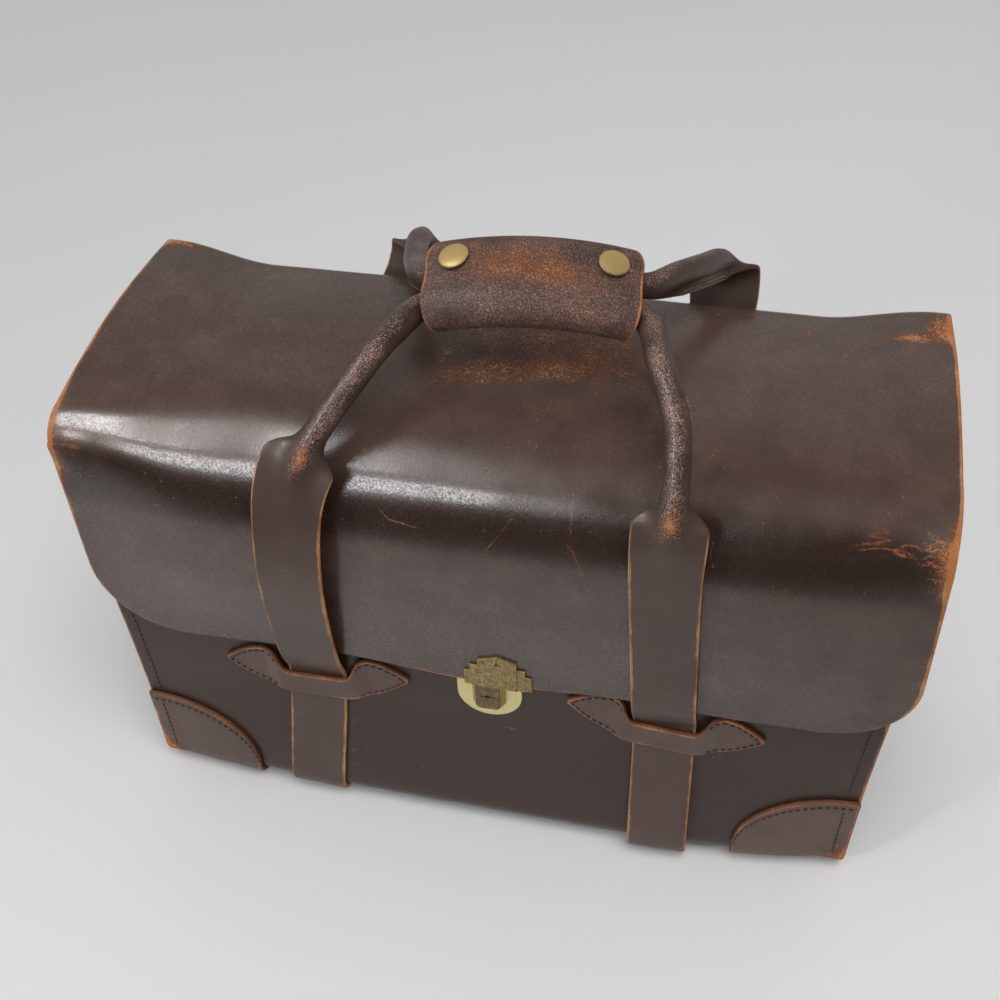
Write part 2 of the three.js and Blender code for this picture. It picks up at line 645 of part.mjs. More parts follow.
// One handle: up one strap, through the grip and down the other
function handle(name, face) {
  const [left, right] = ['left', 'right'].map((side) => {
    const strap = STRAPS.find((row) => row.side === `${name}_${side}`);
    return strapStations(strap, face);
  });
  const stations = [...right.stations, right.middle, ...[...left.stations].reverse()];
  const rings = stations.map((station, index) => {
    const before = stations[Math.max(index - 1, 0)].point;
    const after = stations[Math.min(index + 1, stations.length - 1)].point;
    const tangent = after.clone().sub(before).normalize();
    const normal = station.normal.clone().addScaledVector(tangent, -tangent.dot(station.normal)).normalize();
    const across = tangent.clone().cross(normal);
    return strapSection(station.width, station.roll, station.fin).map(([u, v]) => station.point.clone()
      .addScaledVector(across, u).addScaledVector(normal, v));
  });
  const size = rings[0].length;
  const foot = size - 2;
  const end = (rings.length - 1) * size;
  const triangles = [];
  for (let ring = 0; ring < rings.length - 1; ring += 1) {
    for (let i = 0; i < size; i += 1) {
      const [a, b] = [ring * size + i, ring * size + (i + 1) % size];
      triangles.push([a, b, b + size], [a, b + size, a + size]);
    }
  }
  for (let i = 0; i < size; i += 1) {
    const next = (i + 1) % size;
    if (i === foot || next === foot) continue;
    triangles.push([foot, next, i], [end + foot, end + i, end + next]);
  }
  return closedGeometry(rings.flat(), triangles);
}

// Outline of the grip's section from its inner lap, under, round the front and over to its outer lap
function gripSection() {
  const radius = GRIP_HIGH / 2;
  const flat = (GRIP_WIDE - GRIP_HIGH) / 2;
  const points = [];
  const arc = (centre, from, to, count, offset) => {
    for (const share of range(count)) {
      const angle = degToRad(lerp(from, to, share));
      const reach = radius + offset(share);
      points.push([centre + reach * Math.cos(angle), reach * Math.sin(angle)]);
    }
  };
  const lap = WRAP_THICK + GAP;
  arc(flat, -10, -90, 4, () => 0);
  arc(-flat, -90, -270, 9, () => 0);
  points.push([0, radius]);
  const lapStart = points.length;
  arc(flat, 90, 0, 6, (share) => lap * smoothstep(share, 0, 0.9));
  arc(flat, -20, -GRIP_OVERLAP, 3, () => lap);
  return points.map(([across, up], index) => {
    const cut = LAP_CUT * smoothstep(index, lapStart, points.length - 1);
    return { across, up, length: 1 - cut };
  });
}

function grip() {
  const last = GRIP_LENGTH / 2 / GRIP_ARCH;
  const turns = range(9).map((share) => lerp(-last, last, share));
  const section = gripSection();
  const grid = turns.map((turn) => section.map((row) => {
    return gripPlace(turn * row.length, row.across, row.up).point;
  }));
  return sheetSolid(grid, WRAP_THICK);
}

// Domed snap cap with a rolled rim, its axis along +Y of the lathe
function snapCap() {
  const radius = SNAP_DIAMETER / 2;
  const profile = SNAP_OUTLINE.map((row) => new THREE.Vector2(radius * row.reach, row.rise));
  return new THREE.LatheGeometry(profile, 20);
}

// Flat brass piece standing on the front: outline in X and Z, thickness towards the viewer
function brassPlate(shape, thickness) {
  const settings = { depth: thickness, bevelEnabled: false, curveSegments: 8 };
  return new THREE.ExtrudeGeometry(shape, settings).rotateX(Math.PI / 2);
}

// U-shaped outline with a straight head and a round foot
function plateShape() {
  const half = PLATE_WIDTH / 2;
  const shape = new THREE.Shape();
  shape.moveTo(half, PLATE_HIGH);
  shape.lineTo(-half, PLATE_HIGH);
  shape.lineTo(-half, PLATE_LOW + half);
  shape.absarc(0, PLATE_LOW + half, half, Math.PI, 2 * Math.PI, false);
  return shape;
}

function slideShape() {
  const half = SLIDE_WIDTH / 2;
  const round = SLIDE_CORNER;
  const shape = new THREE.Shape();
  shape.moveTo(-half, SLIDE_HIGH);
  shape.lineTo(-half, SLIDE_LOW + round);
  shape.absarc(-half + round, SLIDE_LOW + round, round, Math.PI, 1.5 * Math.PI, false);
  shape.absarc(half - round, SLIDE_LOW + round, round, 1.5 * Math.PI, 2 * Math.PI, false);
  shape.lineTo(half, SLIDE_HIGH);
  const middle = (SLIDE_LOW + SLIDE_HIGH) / 2;
  const slot = KEYHOLE_SLOT;
  const reach = Math.sqrt(KEYHOLE_RADIUS ** 2 - slot ** 2);
  const turn = Math.atan2(slot, reach);
  const end = KEYHOLE_LENGTH / 2;
  const keyhole = new THREE.Path();
  keyhole.moveTo(end, middle - slot);
  keyhole.absarc(0, middle, KEYHOLE_RADIUS, -turn, turn - Math.PI, true);
  keyhole.lineTo(-end, middle - slot);
  keyhole.lineTo(-end, middle + slot);
  keyhole.absarc(0, middle, KEYHOLE_RADIUS, Math.PI - turn, turn, true);
  keyhole.lineTo(end, middle + slot);
  shape.holes.push(keyhole);
  return shape;
}

// Thumb slide: its sides slope outwards to a wider back
function slideBlock() {
  const geometry = brassPlate(slideShape(), SLIDE_THICK);
  const { position } = geometry.attributes;
  for (let i = 0; i < position.count; i += 1) {
    const depth = 1 + position.getY(i) / SLIDE_THICK;
    position.setX(i, position.getX(i) * (1 + 2 * SLIDE_SLOPE * depth / SLIDE_WIDTH));
  }
  geometry.computeVertexNormals();
  return geometry;
}

function haspShape() {
  const shape = new THREE.Shape();
  const right = HASP_STEPS.map((step) => new THREE.Vector2(step.half, step.rise));
  const left = right.slice(0, -1).reverse().map((point) => new THREE.Vector2(-point.x, point.y));
  shape.setFromPoints([...right, ...left]);
  const rivet = new THREE.Path();
  rivet.absarc(0, HASP_STEPS.at(-1).rise - RIVET_DROP, HASP_RIVET, 0, 2 * Math.PI, true);
  shape.holes.push(rivet);
  return shape;
}

addPiece('front_and_base', bowOut(sheetSolid(frontAndBase(), HIDE)), 'hide');
addPiece('back_and_flap', bowOut(sheetSolid(backAndFlap(), HIDE)), 'hide');
for (const [side, sign] of [['left', -1], ['right', 1]]) {
  addPiece(`gusset_${side}`, bowOut(gusset(sign)), 'hide');
  addPiece(`corner_patch_front_${side}`, bowOut(cornerPatch(sign, -1)), 'trim');
  addPiece(`corner_patch_back_${side}`, bowOut(cornerPatch(sign, 1)), 'trim');
}
for (const strap of STRAPS) {
  addPiece(`keeper_${strap.side}`, keeper(strap, strap.side.startsWith('front') ? -1 : 1), 'trim');
}
addPiece('handle_front', bowOut(handle('front', -1)), 'strap');
addPiece('handle_back', bowOut(handle('back', 1)), 'strap');
addPiece('grip', grip(), 'wrap');
for (const [side, sign] of [['left', -1], ['right', 1]]) {
  const seat = gripPlace(sign * SNAP_SPREAD / GRIP_ARCH, SNAP_BACK, GRIP_HIGH / 2 + 2 * GAP);
  seat.normal.applyAxisAngle(new THREE.Vector3(-1, 0, 0), degToRad(SNAP_LEAN));
  const snap = addPiece(`snap_${side}`, snapCap(), 'snap');
  snap.position.copy(seat.point);
  snap.quaternion.setFromUnitVectors(new THREE.Vector3(0, 1, 0), seat.normal);
}

const lock = new THREE.Group();
lock.position.set(PLATE_X, FRONT_Y - GAP, 0);
bag.add(lock);
addPiece('lock_plate', brassPlate(plateShape(), PLATE_THICK), 'plate', lock);
const slide = addPiece('lock_slide', slideBlock(), 'slide', lock);
slide.position.y = -PLATE_THICK - GAP;
const haspSeat = hideProfile(HASP_X / BASE_HALF_WIDTH);
const flapRun = haspSeat.bendArc.last.clone().sub(haspSeat.edge).normalize();
const hasp = addPiece('lock_hasp', brassPlate(haspShape(), HASP_THICK), 'hasp');
hasp.position.set(HASP_X, haspSeat.edge.x - GAP, HASP_FOOT);
hasp.rotation.x = Math.atan2(-flapRun.x, flapRun.y);

// The origin is the middle of the whole case's footprint, on the surface that it stands on
bag.updateMatrixWorld(true);
const extent = new THREE.Box3().setFromObject(bag, true);
const middle = extent.getCenter(new THREE.Vector3());
bag.position.set(-middle.x, -middle.y, -extent.min.z);

export default bag;
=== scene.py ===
"""Leather briefcase: its worn leather, stitching and brass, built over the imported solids."""
import math

import bpy
import numpy as np
from mathutils import Matrix, Vector, noise


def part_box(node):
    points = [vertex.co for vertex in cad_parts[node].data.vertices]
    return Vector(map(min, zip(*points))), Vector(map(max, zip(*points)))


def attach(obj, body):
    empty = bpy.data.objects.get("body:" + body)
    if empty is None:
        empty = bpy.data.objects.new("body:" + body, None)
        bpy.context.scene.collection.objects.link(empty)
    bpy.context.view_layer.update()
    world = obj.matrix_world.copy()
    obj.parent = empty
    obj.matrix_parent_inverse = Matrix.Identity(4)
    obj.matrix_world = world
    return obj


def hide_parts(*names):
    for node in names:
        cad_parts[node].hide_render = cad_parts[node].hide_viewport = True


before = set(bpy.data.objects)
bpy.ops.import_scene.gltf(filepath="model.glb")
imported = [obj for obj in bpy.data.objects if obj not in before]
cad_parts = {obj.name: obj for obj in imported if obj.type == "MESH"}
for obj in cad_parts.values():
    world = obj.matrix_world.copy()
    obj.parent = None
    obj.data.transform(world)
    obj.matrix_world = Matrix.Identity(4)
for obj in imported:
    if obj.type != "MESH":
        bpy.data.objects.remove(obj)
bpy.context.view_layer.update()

bl_info = {
    "name": "Leather briefcase",
    "version": (1, 0, 0),
    "blender": (4, 5, 0),
    "location": "3D View > Sidebar > Briefcase",
    "description": "Builds the leather, thread and brass of a worn flap-over briefcase",
    "category": "Object",
}

MM = 0.001

# Fit to the solids, in millimetres
GAP = 0.3
LIFT = 3.0
FRONT_Y = -76.0
BACK_Y = 76.0
BASE_RADIUS = 15.0
BASE_HALF_WIDTH = 213.0
CASE_TOP = 266.0
FRONT_FLARE = 16.0
BACK_FLARE = 4.0
PANEL_CORNER = 8.0
BASE_SEAM_Y = 30.0
BOW = 9.0
BOW_SKEW = 0.25
BOW_HALF = 198.0
BOW_TOP = 95.0
GUSSET_INSET = 12.0
GUSSET_TOP = 260.0
GUSSET_DIP = 12.0
BACK_STRAIGHT = 225.0
FOLD = (76.0, 288.5)
FOLD_RADIUS = 8.0
BEND = (-91.0, 283.0)
BEND_RADIUS = 37.0
BEND_RADIUS_END = {"left": 17.0, "right": 34.0}
TOP_CROWN = 6.0
FLAP_EDGE_Y = -82.0
FLAP_EDGE_Y_END = -83.0
FLAP_CORNER = 47.0
FLAP_STRAIGHT = 0.63
LIFT_FROM = 0.7
LIFT_FULL = 0.97
TIGHT_FROM = 0.45
FOLD_LIFT = {"left": 10.0, "right": 8.5, "out": 2.0}
BEND_LIFT = {"left": 3.0, "right": 3.0}
BEND_IN = {"left": 2.0, "right": 4.0}
SIDE_LEFT = (-213.0, -213.0, -216.0, -217.5, -221.0)
SIDE_RIGHT = (213.0, 213.0, 222.0, 223.0, 228.0)
TUCK = 0.032
TUCK_FROM = 150.0
TUCK_FULL = 255.0
EASE_PASSES = 130
EASE_PULL = 0.5
BEND_PUSH = 5.0
FLAP_EDGE = {
    "at": (-1.0, -0.55, 0.03, 0.4, 0.75, 1.0),
    "z": (136.0, 137.0, 129.5, 133.0, 131.0, 132.0),
}

# Edges of the leather: the rim's radius as a share of the thickness, the band that gives way to
# it in rim radii, the row close to each edge, and the sine below which grid lines run parallel
RIM_SHARE = 0.4
RIM_BAND = 4.0
EDGE_ROW = 2.0
PARALLEL = 0.3

# Straps and handles
SHOULDER_WIDTH = 38.0
ROLL_SWEEP = 310.0
FIN_DEPTH = 4.5
FIN_HALF = 1.6
OUTWARD_Z = 285.0
KEEPER_TOP = 112.0
# Points of a strap's section: on its face, on each rim and on its inside
FACE_POINTS = 29
RIM_POINTS = 5
INSIDE_POINTS = 13
# Straps: x at the base and at the keeper, slack at the foot, tilt of the keeper in degrees
STRAPS = {
    "front_left": {"base": -108.0, "keeper": -99.0, "slack": 0.0, "tilt": 1.0},
    "front_right": {"base": 103.5, "keeper": 101.0, "slack": 4.0, "tilt": -5.5},
    "back_left": {"base": -105.0, "keeper": -102.0, "slack": 0.0, "tilt": 0.0},
    "back_right": {"base": 105.0, "keeper": 103.0, "slack": 0.0, "tilt": 0.0},
}
# Free run of each strap: x, y, z of its middle line, share of the shoulder's extra width, roll
RUNS = {
    "front_left": (
        (-98, -86.2, 134, 0, 0), (-96, -95.5, 172, 0, 0), (-93, -103, 212, 0, 0),
        (-90, -103.5, 246, 0, 0.03), (-87, -100, 269, 0.3, 0.2), (-82, -94.5, 285, 0.6, 0.47),
        (-75, -84, 297, 0.3, 0.93), (-63, -65, 312, 0, 1), (-50, -42, 325, 0, 1),
    ),
    "front_right": (
        (100, -85.8, 134, 0, 0), (98, -90, 176, 0, 0), (96, -95, 222, 0, 0),
        (95, -97.8, 250, 0.2, 0.03), (95, -98, 270, 0.4, 0.3), (95, -92.5, 287, 0.3, 0.82),
        (95, -82, 300, 0, 1), (91.5, -63, 314, 0, 1), (81, -40, 326, 0, 1),
    ),
    "back_left": (
        (-100, 78, 150, 0, 0), (-95, 79, 205, 0, 0), (-82, 84, 255, 0, 0), (-70, 91, 283, 1, 0.12),
        (-67.5, 92, 296, 1, 0.5), (-67, 84, 305, 0, 0.95), (-63, 62, 312, 0, 1), (-55, 34, 320, 0, 1),
    ),
    "back_right": (
        (103, 78, 150, 0, 0), (103, 79, 205, 0, 0), (104, 84, 255, 0, 0), (104, 91, 284, 1, 0.12),
        (103, 92, 298, 1, 0.5), (100, 84, 308, 0, 0.95), (92, 63, 317, 0, 1), (81, 40, 325, 0, 1),
    ),
}

# Grip
GRIP = np.array((14.0, -2.0, 338.0))
GRIP_LENGTH = 101.0
GRIP_ARCH = 150.0
GRIP_TILT = 21.0
GRIP_YAW = 5.0
GRIP_WIDE = 46.0
GRIP_HIGH = 25.0
GRIP_OVERLAP = 60.0
LAP_CUT = 0.16
FIN_IN_GRIP = 0.2
ROLL_IN_GRIP = ((1.08, 9.0, 0.4), (0.6, 8.5, 1.4), (0.0, 8.0, 1.6))
SNAP_SPREAD = 36.0
SNAP_BACK = 8.0
SNAP_LEAN = 5.0
# Snap cap from its foot to its crown: share of the radius, height
SNAP_PROFILE = (
    (0.004, 0.0), (0.9, 0.0), (0.97, 0.2), (1.0, 0.6), (0.985, 0.95), (0.95, 1.15), (0.9, 1.2),
    (0.86, 1.28), (0.78, 1.5), (0.66, 1.7), (0.5, 1.86), (0.3, 1.97), (0.004, 2.0),
)

# Keepers and patches
KEEPER_OUTLINE = {
    "x": (0, 17, 19.5, 22, 26, 31, 38, 46, 52, 55),
    "low": (95, 95, 95.5, 96, 97, 98.5, 101.5, 106.5, 111.5, 113.8),
    "high": (112, 112, 113.5, 119.5, 126.5, 128, 127, 123, 118.6, 116.6),
}
KEEPER_RAMP = 11.0
KEEPER_EASE = 1.0
PATCH_WIDTH = 66.0
PATCH_HEIGHT = 65.0
PATCH_TOE = 4.0
PATCH_UNDER = 34.0

# Lock
PLATE_X = 2.5
PLATE_WIDTH = 37.0
PLATE_LOW = 97.0
PLATE_HIGH = 150.0
PLATE_THICK = 1.3
SLIDE_WIDTH = 13.6
SLIDE_SLOPE = 3.0
SLIDE_LOW = 107.5
SLIDE_HIGH = 127.6
SLIDE_THICK = 4.4
HASP_X = 9.0
HASP_THICK = 1.7
HASP_FOOT = 128.6
SLIDE_CORNER = 3.0
KEYHOLE = {"half": 4.2, "slit": 0.55, "radius": 1.5, "turn": 0.37}
PLATE_BEVEL = 0.35
SLIDE_BEVEL = 0.4
HASP_BEVEL = 0.28
# Layers of the hasp: thickness, then half width and height of each corner
HASP_LAYERS = (
    (0.8, ((18.9, 0), (18.9, 12.5))),
    (1.25, ((15.6, 0), (15.6, 18))),
    (HASP_THICK, ((10.9, 0), (10.9, 23.3), (0, 27.5))),
)
HASP_PIN = (21.3, 1.1)

# Stitching
SEAM_INSET = 8.0
SEAM_TOP = {"front": 256.0, "back": 222.0}
PATCH_SEAM = 5.0
KEEPER_SEAM = 2.5
KEEPER_SEWN = (23.5, 52.0)
HANDLE_PITCH = 3.4

# Grain of the leather: cells in a metre, and the bump's height in metres
GRAIN = 1700.0
GRAIN_HEIGHT = 0.00006

# Worn places: x, y, z, reach in x, y and z, strength
FRONT_WEAR = (
    (-226, -76, 255, 8, 8, 14, 1.0), (226, -76, 255, 8, 8, 14, 0.8),
    (-215, -80, 30, 8, 20, 40, 0.3), (215, -80, 30, 8, 20, 40, 0.3),
)
# UNDER_GRIP also places the painted shadow under the grip, over its real scuffing
UNDER_GRIP = (18, 1, 293, 62, 25, 20, 0.62)
FLAP_WEAR = (
    UNDER_GRIP, (20, 22, 294, 60, 12, 20, 0.4), (-25, -18, 293, 12, 9, 20, 0.3),
    (52, 4, 293, 22, 8, 20, 0.25), (201, 45, 297, 9, 3.5, 12, 1.0), (151, 49, 294, 3, 3, 12, 0.8),
    (190, 48, 296, 16, 9, 12, 0.25), (-209, 72, 297, 15, 7, 9, 1.0), (217, 54, 297, 8, 18, 9, 1.0),
    (-216, -82, 266, 6, 12, 16, 0.9), (-219, -76, 284, 5, 18, 12, 1.0),
    (214, -84, 266, 12, 14, 14, 0.3), (223, -86, 266, 7, 16, 28, 1.0),
    (225, 10, 292, 3.0, 75, 20, 0.7), (-218, 0, 292, 2.5, 70, 20, 0.4),
    (227, -84, 180, 3, 10, 60, 0.5), (100, -83, 131, 120, 10, 2.5, 0.35),
    (-90, -83, 133, 100, 10, 2.5, 0.2), (50, -84, 246, 3, 10, 3, 0.6),
)
FLAP_CRACKS = (
    (218, -88, 268, 14, 18, 13, 1.0), (196, -88, 270, 24, 18, 9, 0.5),
    (-212, -84, 276, 10, 14, 12, 0.7),
)
GRIP_WEAR = ((12, -5, 350, 50, 13, 14, 0.75), (-16, 8, 352, 6, 4, 8, 0.4))
# Scratches on the flap's front: x and z of both ends, width
FLAP_SCRATCHES = (
    ((47.5, 274.0), (49.0, 250.0), 0.3), ((49.0, 250.0), (51.5, 243.0), 0.7),
    ((51.5, 243.0), (58.0, 222.0), 0.28), ((46.0, 252.0), (49.5, 247.0), 0.35),
    ((23.5, 267.0), (14.0, 252.0), 0.3), ((14.0, 252.0), (5.0, 238.0), 0.28),
    ((-47.0, 258.0), (-42.0, 252.5), 0.28), ((-42.0, 252.5), (-27.0, 249.0), 0.25),
)

# Studio, in metres and degrees: a light's name, place, target, size, watts, spread, and whether
# only reflections see it
LIGHTS = (
    ("left_strip", (-0.71, -0.65, 1.5), (-0.71, -0.649, 0.0), (0.38, 1.1), 21.0, 180, True),
    ("far_strip", (-1.0, -0.65, 1.5), (-1.0, -0.649, 0.0), (0.2, 1.1), 3.0, 180, True),
    ("front_box", (-0.42, -1.28, 0.87), (-0.05, -0.08, 0.28), (0.34, 0.5), 7.2, 180, True),
    ("key", (-1.0, -1.1, 0.7), (0.02, -0.08, 0.18), (0.25, 0.25), 0.5, 50, False),
    ("fill", (0.45, -0.85, 2.4), (0.3, -0.35, 0.0), (1.4, 1.2), 32.0, 180, False),
)
FLOOR_REACH = 24.0
FLOOR_TICKS = 13
FLOOR_Z = -0.0004
CARD_X = 4.0
CARD_Y = (-6.0, -0.16)
CARD_Z = 0.002
SENSOR = 36.0
LENS = 45.04
EYE = Vector((0.114475, -0.511754, 0.667961))
EYE_RIGHT = (0.9777996, 0.2081677, -0.0239614)
EYE_UP = (-0.1224668, 0.6605138, 0.7407586)
EYE_BACK = (0.1700289, -0.7213790, 0.6713438)

# The solids stand with the middle of their footprint at the origin
SHIFT_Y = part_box("lock_plate")[1].y / MM - (FRONT_Y - GAP)


def length_property(name, description, default):
    return bpy.props.FloatProperty(
        name=name, description=description, default=default, unit="LENGTH")


def colour_property(name, description, default):
    return bpy.props.FloatVectorProperty(
        name=name, description=description, default=default, subtype="COLOR", size=3, min=0, max=1)


class CaseSizes(bpy.types.PropertyGroup):
    """Sizes of the leather, thread and caps, in metres."""

    hide: length_property("Case leather", "Thickness of the case and flap", 0.003)
    strap: length_property("Strap leather", "Thickness of straps, keepers and patches", 0.0027)
    lining: length_property("Thin leather", "Thickness of end walls and grip", 0.0025)
    strap_width: length_property("Strap width", "Width of the flat straps", 0.0346)
    roll: length_property("Roll radius", "Radius of the rolled handles", 0.0065)
    stitch_pitch: length_property("Stitch pitch", "Distance from stitch to stitch", 0.0042)
    stitch_length: length_property("Stitch length", "Length of thread that shows", 0.0031)
    thread: length_property("Thread radius", "Radius of the sewing thread", 0.00048)
    snap: length_property("Snap diameter", "Diameter of the snap caps", 0.0155)


class CaseColours(bpy.types.PropertyGroup):
    """Colours of the leather, thread, brass and floor, as linear light."""

    # Black brown is also the colour of the painted shade below the bend and of the painted shadow
    # under the grip
    black_brown: colour_property("Black brown", "Leather below the bend", (0.026, 0.0130, 0.0095))
    deep: colour_property("Deep brown", "Darkest tone of the waxed leather", (0.058, 0.0335, 0.0260))
    brown: colour_property("Brown", "Main tone of the waxed leather", (0.090, 0.0535, 0.0415))
    rust: colour_property("Rubbed rust", "Leather rubbed through its finish", (0.125, 0.040, 0.017))
    orange: colour_property("Raw orange", "Bare leather of scuffs and edges", (0.36, 0.125, 0.034))
    tan: colour_property("Dry tan", "Palest tone of scuffs and cut edges", (0.55, 0.33, 0.17))
    # Rose is also the colour of the painted granular sheen on the grip
    rose: colour_property("Dry bloom", "Pale speckle of the handled leather", (0.36, 0.215, 0.165))
    suede: colour_property("Flesh side", "Rough inner side of the leather", (0.075, 0.048, 0.036))
    thread_dark: colour_property("Dark thread", "Thread of the case seams", (0.020, 0.012, 0.009))
    thread_light: colour_property("Light thread", "Thread of the rolled handles", (0.30, 0.19, 0.10))
    brass: colour_property("Bright brass", "Lock plate where it is rubbed bright", (0.78, 0.68, 0.34))
    old_brass: colour_property("Aged brass", "Snap caps and hasp", (0.52, 0.37, 0.14))
    dull_brass: colour_property("Tarnish", "Tarnish on the brass", (0.13, 0.095, 0.055))
    floor: colour_property("Floor", "Studio floor and backdrop", (0.69, 0.69, 0.69))


def sizes():
    return bpy.context.scene.case_sizes


def colour(name):
    return (*getattr(bpy.context.scene.case_colours, name), 1.0)


# Shape helpers


def smooth(value, low, high):
    share = np.clip((np.asarray(value, float) - low) / (high - low), 0, 1)
    return share * share * (3 - 2 * share)


def mix(start, end, share):
    return start + (end - start) * share


def unit(vectors):
    return vectors / np.maximum(np.linalg.norm(vectors, axis=-1, keepdims=True), 1e-9)


def table_value(table, key, column, at):
    """Values between a table's rows, on a smooth curve through them."""
    keys = np.array(table[key], float)
    values = np.array(table[column], float)
    index = np.clip(np.searchsorted(keys, at) - 1, 0, len(keys) - 2)
    share = (at - keys[index]) / (keys[index + 1] - keys[index])
    return mix(values[index], values[index + 1], smooth(share, 0, 1))


def ripple(points, size):
    """Soft unevenness from -1 to 1, the same in every run."""
    flat = points.reshape(-1, 3) / size
    return np.array([noise.noise(Vector(p)) for p in flat]).reshape(points.shape[:-1])


def spots(points, rows):
    """Sum of soft spots: rows hold x, y, z, reach_x, reach_y, reach_z and strength."""
    total = np.zeros(points.shape[:-1])
    for x, y, z, reach_x, reach_y, reach_z, strength in rows:
        away = (points - (x, y, z)) / (reach_x, reach_y, reach_z)
        total += strength * np.exp(-(away ** 2).sum(-1))
    return np.clip(total, 0, 1)


def bow_out(points):
    """Bows the lower front edge forwards, as the solids do."""
    points = np.array(points, float)
    across = points[..., 0] / BOW_HALF
    low = 1 - smooth(points[..., 2], BASE_RADIUS, BOW_TOP)
    front = np.clip((BACK_Y - points[..., 1]) / (BACK_Y - FRONT_Y), 0, 1)
    share = np.maximum(0, 1 - across ** 4) * (1 + BOW_SKEW * across)
    points[..., 1] -= BOW * share * low * front
    return points


def half_width(y, z):
    flare = mix(FRONT_FLARE, BACK_FLARE, (y - FRONT_Y) / (BACK_Y - FRONT_Y))
    return BASE_HALF_WIDTH + flare * (np.clip(z, 0, CASE_TOP) / CASE_TOP) ** 2


def tucked(points):
    """Draws the top of the right end in, to hang under the flap."""
    points = np.array(points, float)
    high = smooth(points[..., 2], TUCK_FROM, TUCK_FULL)
    points[..., 0] *= 1 - TUCK * high * (points[..., 0] > 0)
    return points


def base_corner(side, turn, offset):
    """y, z and the outward direction in y, z on the case's rounded foot."""
    angle = turn * math.pi / 2
    reach = BASE_RADIUS + offset
    y = side * (BACK_Y - BASE_RADIUS + reach * math.sin(angle))
    z = LIFT + BASE_RADIUS - reach * math.cos(angle)
    return y, z, (side * math.sin(angle), -math.cos(angle))


def face_normals(grid):
    return unit(np.cross(np.gradient(grid, axis=0), np.gradient(grid, axis=1)))


def support(grid):
    """Adds a row close to each edge, so that the rounded rim doesn't shade the face."""
    for axis in (0, 1):
        grid = np.moveaxis(grid, axis, 0)
        first = grid[1] - grid[0]
        last = grid[-2] - grid[-1]
        length = [np.linalg.norm(run, axis=-1, keepdims=True) for run in (first, last)]
        step = [np.minimum(EDGE_ROW / np.maximum(size, 1e-9), 0.5) for size in length]
        near = grid[0] + first * step[0]
        far = grid[-1] + last * step[1]
        grid = np.concatenate([grid[:1], near[None], grid[1:-1], far[None], grid[-1:]])
        grid = np.moveaxis(grid, 0, axis)
    return grid


def edge_distance(grid):
    """Distance from each point of a sheet to its nearest free edge, along the sheet."""
    nearest = np.full(grid.shape[:2], np.inf)
    for axis in (0, 1):
        steps = np.linalg.norm(np.diff(grid, axis=axis), axis=-1)
        none = np.zeros_like(np.take(steps, [0], axis))
        start = np.concatenate([none, np.cumsum(steps, axis)], axis)
        stop = np.take(start, [-1], axis) - start
        nearest = np.minimum(nearest, np.minimum(start, stop))
    return nearest


def edge_loop(rows, columns):
    top = [(0, c) for c in range(columns)]
    right = [(r, columns - 1) for r in range(1, rows)]
    bottom = [(rows - 1, c) for c in range(columns - 2, -1, -1)]
    left = [(r, 0) for r in range(rows - 2, 0, -1)]
    return np.array(top + right + bottom + left)


def drawn_in(grid, radius):
    """The sheet with its outer rows closed up, which leaves room for a rounded rim."""
    for axis in (0, 1):
        lines = np.moveaxis(grid, axis, 0)
        steps = np.linalg.norm(np.diff(lines, axis=0), axis=-1)
        reach = np.concatenate([np.zeros((1, lines.shape[1])), np.cumsum(steps, 0)])
        band = np.minimum(RIM_BAND * radius, reach[-1] / 2)
        near = np.clip(1 - reach / band, 0, 1)
        far = np.clip(1 - (reach[-1] - reach) / band, 0, 1)
        target = reach + radius * (near - far)
        moved = [[np.interp(target[:, c], reach[:, c], lines[:, c, k]) for k in range(3)]
                 for c in range(lines.shape[1])]
        grid = np.moveaxis(np.array(moved).transpose(2, 0, 1), 0, axis)
    return grid


